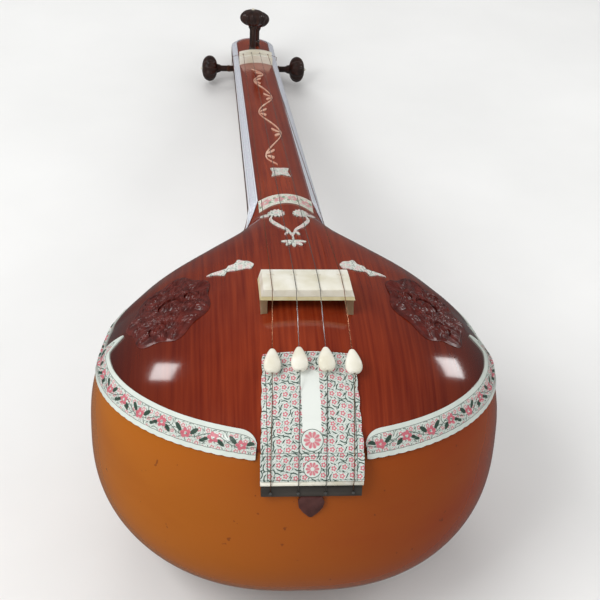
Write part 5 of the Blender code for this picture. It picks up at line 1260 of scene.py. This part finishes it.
@dataclass(frozen=True)
class Ornament:
    """Inlays and carved leaves on the face."""

    centre_x: float = 0.141
    centre_y: float = 0.004
    reach_x: float = 0.0445
    reach_y: float = 0.0615
    height: float = 0.0050
    vine_bends: Sequence[tuple[float, float]] = (
        (-0.0110, 0.9680), (0.0070, 0.9236), (-0.0105, 0.8733), (0.0135, 0.7613), (-0.0125, 0.6602), (0.0138, 0.5418),
        (-0.0140, 0.4277), (-0.0015, 0.3740),
    )

    def carving(self, side: int, word: str) -> None:
        """A slab of overlapping carved leaves on the shoulder.

        Polar rings about its middle, with the outline 1 + 0.06 cos(7 turn). Its height is the greatest of
        many leaves: each leans out from a ring of places, is h (1 - long^2 - wide^2) with a groove down
        its rib, and a ring of petals lies round each of three flowers.

        Args:
            side: 1 for the right and -1 for the left.
            word: the side's name.
        """
        t = TANPURA
        turns = np.linspace(0, 2 * math.pi, 360, endpoint=False)
        rings = np.linspace(0.008, 1, 110)[:, None]
        outline = 1 + 0.06 * np.cos(7 * turns)[None]
        lx, ly = self.reach_x * rings * outline * np.cos(turns), self.reach_y * rings * outline * np.sin(turns)
        raised = np.full(lx.shape, 0.18)
        for count, reach, long, wide, twist in ((5, 0.26, 0.0150, 0.0080, 0.5), (9, 0.55, 0.0165, 0.0078, -0.7),
                                                (13, 0.80, 0.0150, 0.0070, 0.6), (11, 0.42, 0.0110, 0.0050, 1.4)):
            for k in range(count):
                turn = 2 * math.pi * (k + 0.35 * reach) / count
                cx, cy = reach * self.reach_x * math.cos(turn), reach * self.reach_y * math.sin(turn)
                lean = math.atan2(cy, cx) + twist * (1 if k % 2 else -1)
                dx, dy = lx - cx, ly - cy
                a = (dx * math.cos(lean) + dy * math.sin(lean)) / long
                b = (dy * math.cos(lean) - dx * math.sin(lean)) / wide
                b = b + 0.45 * a * a * (1 if k % 2 else -1)
                swell = np.sqrt(np.clip(1 - a * a - b * b, 0, 1))
                rib = 0.20 * np.exp(-((b / 0.13) ** 2)) + 0.05 * np.cos(16 * a + 9 * np.abs(b))
                raised = np.maximum(raised, (0.62 + 0.25 * (1 - reach) + 0.05 * (k % 3)) * swell - rib * (swell > 0))
        for fx, fy, size in ((0.0, 0.0, 0.0125), (0.018, 0.034, 0.0095), (0.012, -0.036, 0.0095), (-0.024, 0.006, 0.0085)):
            far = np.hypot(lx - fx, ly - fy) / size
            around = np.arctan2(ly - fy, lx - fx)
            petal = np.clip(1 - far, 0, 1) ** 0.45 * (0.72 + 0.28 * np.abs(np.cos(3 * around)))
            petal = petal - 0.35 * np.exp(-(((far - 0.36) / 0.09) ** 2))
            raised = np.where(far < 1, np.maximum(petal, 0.12), raised)
        raised = np.clip(raised, 0.06, 1.05) * self.height
        raised = raised * np.clip((1 - rings) * 18, 0.10, 1) + 0.0004
        x, y = self.centre_x + lx, self.centre_y + ly
        z = t.face_z(x, y)
        top = np.stack([side * x, y, z + raised], -1)
        low = np.stack([side * x, y, z + GAP], -1)
        piece = loft(f"carved_leaves_{word}", np.concatenate([low, top[::-1]], axis=0), sharp=50.0)
        stand_for(piece, [f"shoulder_carving_{word}"], "carving")

    def vine(self) -> None:
        """A wavy stem down the neck's face, with a leaf inside each bend."""
        stem = through(self.vine_bends, 260)
        wide = 0.0010 + 0.0004 * np.sin(np.linspace(0, 40, len(stem)))
        wide[:3] *= 0.3
        wide[-3:] *= 0.3
        parts = [strip(stem, wide, wide, 0.0013, 5)]
        t = np.linspace(0, 1, 28)
        for number, (x, y) in enumerate(self.vine_bends[1:-1]):
            side = -1 if self.vine_bends[number][0] < x else 1
            for long, lift, out in ((0.0195, 0.010, 0.0105), (0.0130, -0.013, 0.0070)):
                root = np.array((x + side * 0.0016, y + lift * 0.35))
                tip = root + (side * out, lift + (long * 0.5 if lift > 0 else -long * 0.5))
                line = root + (tip - root) * t[:, None] + np.stack([side * 0.0022 * np.sin(math.pi * t), 0 * t], -1)
                swell = 0.0001 + 0.0030 * np.sin(math.pi * t**0.8) ** 0.8 * (1 + 0.12 * np.cos(t * 30))
                parts.append(strip(line, swell, swell * 0.8, 0.0013, 7))
        piece = joined("vine", parts)
        stand_for(piece, ["vine_inlay"], "vine")

    def heart(self) -> None:
        """Two flowers with rays on curved stems that meet over a hanging flower."""
        parts = []
        for side in (-1, 1):
            stem = through([(side * 0.0195, 0.186), (side * 0.0225, 0.170), (side * 0.0150, 0.150),
                            (side * 0.0055, 0.136), (side * 0.0008, 0.120)], 60)
            wide = 0.0011 + 0.0016 * np.sin(math.pi * np.linspace(0, 1, 60)) ** 2
            parts.append(strip(stem, wide, wide, 0.0013, 5))
            parts.append(blossom(side * 0.0150, 0.190, 0.0090, 0.0145, 0.0014, 13, 0.30, side * -0.5))
            parts.append(blossom(side * 0.0285, 0.192, 0.0030, 0.0085, 0.0013, 0, 0.0, side * -0.6))
            parts.append(blossom(side * 0.0060, 0.1265, 0.0018, 0.0060, 0.0013, 0, 0.0, side * 0.5))
        parts.append(strip(through([(0, 0.126), (0, 0.114), (0, 0.106)], 12), np.full(12, 0.0012), np.full(12, 0.0012),
                           0.0013, 5))
        for turn, long in ((0.0, 0.0100), (0.75, 0.0095), (-0.75, 0.0095), (1.5, 0.0105), (-1.5, 0.0105)):
            parts.append(blossom(0.0075 * math.sin(turn) * 0.9, 0.1030 - 0.0075 * math.cos(turn), 0.0026, long * 0.75,
                                 0.0014, 0, 0.0, turn))
        stand_for(joined("heart", parts), ["heart_inlay"], "inlay")

    def bird(self, side: int, word: str) -> None:
        """A long-tailed bird that faces the middle of the board.

        Its back and its belly are monotone curves over a line from the tail's tip to the beak.

        Args:
            side: 1 for the right and -1 for the left.
            word: the side's name.
        """
        t = np.linspace(0, 1, 80)
        tail, beak = np.array((side * 0.1005, 0.0465)), np.array((side * 0.0480, 0.0505))
        line = tail + (beak - tail) * t[:, None]
        back = smooth(t, ((0, 0.0003), (0.10, 0.0022), (0.42, 0.0034), (0.47, 0.0085), (0.60, 0.0100), (0.70, 0.0175),
                          (0.80, 0.0125), (0.92, 0.0085), (1, 0.0004)))
        belly = smooth(t, ((0, 0.0003), (0.18, 0.0035), (0.36, 0.0105), (0.43, 0.0035), (0.62, 0.0060), (0.80, 0.0062),
                           (0.92, 0.0080), (1, 0.0004)))
        left, right = (back, belly) if side < 0 else (belly, back)
        piece = joined(f"bird_{word}", [strip(line, left, right, 0.0013, 13)])
        stand_for(piece, [f"bird_inlay_{word}"], "inlay")

    def build(self) -> None:
        """Makes the carvings and the inlays."""
        for side, word in ((-1, "left"), (1, "right")):
            self.carving(side, word)
            self.bird(side, word)
        self.heart()
        self.vine()
        dress(frame["nodes"]["plaque_inlay"], "inlay")


@dataclass(frozen=True)
class Fittings:
    """Bridge, nut, guide, threads and strings."""

    def build(self) -> None:
        """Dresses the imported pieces, smooth-shaded where they are rounded."""
        for node, look in (("bridge_base", "creamy"), ("bridge_plate", "bone"), ("nut", "bone"),
                           ("string_guide", "bone")):
            stand_for(copy_of(node, f"{node}_dressed", 30.0), [node], look)
        dress(frame["nodes"]["joint_block"], "neck")
        for i in range(4):
            dress(frame["nodes"][f"bridge_thread_{i + 1}"], "thread")
            string = copy_of(f"string_{i + 1}", f"string_{i + 1}_dressed", 60.0)
            stand_for(string, [f"string_{i + 1}"], "copper" if i in (0, 3) else "steel")


@dataclass(frozen=True)
class Studio:
    """Camera, floor, lamps and background."""

    place: Colour = (-0.1172, -1.2247, 0.6582)
    yaw: float = 0.0957
    pitch: float = -0.4447
    roll: float = 0.0417
    focal_px: float = 1254.6
    frame_px: float = 600.0
    sensor_mm: float = 36.0

    def camera(self) -> None:
        """Sets the camera where the photograph was taken from, by its yaw, pitch and roll."""
        forward = Vector((math.sin(self.yaw) * math.cos(self.pitch), math.cos(self.yaw) * math.cos(self.pitch),
                          math.sin(self.pitch)))
        right = Vector((math.cos(self.yaw), -math.sin(self.yaw), 0))
        up = right.cross(forward)
        across = right * math.cos(self.roll) + up * math.sin(self.roll)
        over = up * math.cos(self.roll) - right * math.sin(self.roll)
        turn = Matrix((across, over, -forward)).transposed().to_4x4()
        data = bpy.data.cameras.new("camera")
        data.sensor_width = self.sensor_mm
        data.lens = self.sensor_mm * self.focal_px / self.frame_px
        camera = bpy.data.objects.new("camera", data)
        camera.matrix_world = TANPURA.matrix() @ Matrix.Translation(self.place) @ turn
        bpy.context.scene.collection.objects.link(camera)
        bpy.context.scene.camera = camera

    def lamp(self, name: str, place: Colour, aim: Colour, size: float, power: float, gloss: bool = False) -> None:
        """One soft square lamp, which varnish mirrors only if gloss is True."""
        data = bpy.data.lights.new(name, "AREA")
        data.size = size
        data.energy = power
        lamp = bpy.data.objects.new(name, data)
        lamp.location = place
        lamp.rotation_mode = "QUATERNION"
        lamp.rotation_quaternion = (Vector(aim) - Vector(place)).to_track_quat("-Z", "Y")
        lamp.visible_glossy = gloss
        bpy.context.scene.collection.objects.link(lamp)

    def floor(self) -> None:
        """A wide pale floor."""
        side = 12.0
        mesh = bpy.data.meshes.new("floor")
        mesh.from_pydata([(-side, -side, 0), (side, -side, 0), (side, side, 0), (-side, side, 0)], [], [(0, 1, 2, 3)])
        floor = bpy.data.objects.new("floor", mesh)
        bpy.context.scene.collection.objects.link(floor)
        mesh.materials.append(Finish("floor", (0.78, 0.78, 0.77), (0.84, 0.84, 0.83), 0.9, scale=3.0).material())
        floor.visible_glossy = False

    def world(self) -> None:
        """A soft grey world, white to the camera and darker in reflections."""
        world = bpy.data.worlds.new("studio")
        world.use_nodes = True
        g = Graph(world.node_tree)
        back = world.node_tree.nodes["Background"]
        path = g.node("ShaderNodeLightPath")
        seen = g.math("MAXIMUM", path.outputs["Is Camera Ray"], path.outputs["Is Transmission Ray"])
        level = g.math("MULTIPLY_ADD", seen, 0.45, 0.55)
        g.link(g.math("MULTIPLY_ADD", path.outputs["Is Glossy Ray"], -0.42, level), back.inputs["Strength"])
        back.inputs["Color"].default_value = (1, 1, 1, 1)
        bpy.context.scene.world = world

    def build(self) -> None:
        """Sets the whole studio."""
        bpy.context.scene.view_settings.view_transform = "Standard"
        self.camera()
        self.floor()
        self.world()
        self.lamp("key", (-1.6, -1.4, 2.2), (0, -0.3, 0.2), 1.4, 42)
        self.lamp("fill", (2.2, -0.6, 1.6), (0, -0.3, 0.2), 1.8, 16)
        self.lamp("rear", (-0.4, 2.4, 2.0), (0, 0.2, 0.2), 1.6, 18)
        self.lamp("left_glow", (-1.61, 0.52, 1.52), (-0.146, -0.582, 0.297), 0.42, 5, True)
        self.lamp("right_glow", (1.82, 0.67, 1.02), (0.155, -0.574, 0.294), 0.42, 4, True)
        self.lamp("front_glow", (-1.5, -2.1, 1.3), (-0.1, -0.65, 0.15), 0.6, 6, True)


def main() -> None:
    """Builds the studio and every sub-assembly."""
    logging.basicConfig(level=logging.INFO, format="%(message)s")
    flower_vine_group()
    filigree_group()
    for assembly in (Studio(), Body(), Bands(), Pegs(), Beads(), Tail(), Ornament(), Fittings()):
        LOG.info("building %s", type(assembly).__name__)
        assembly.build()


if __name__ == "__main__":
    main()
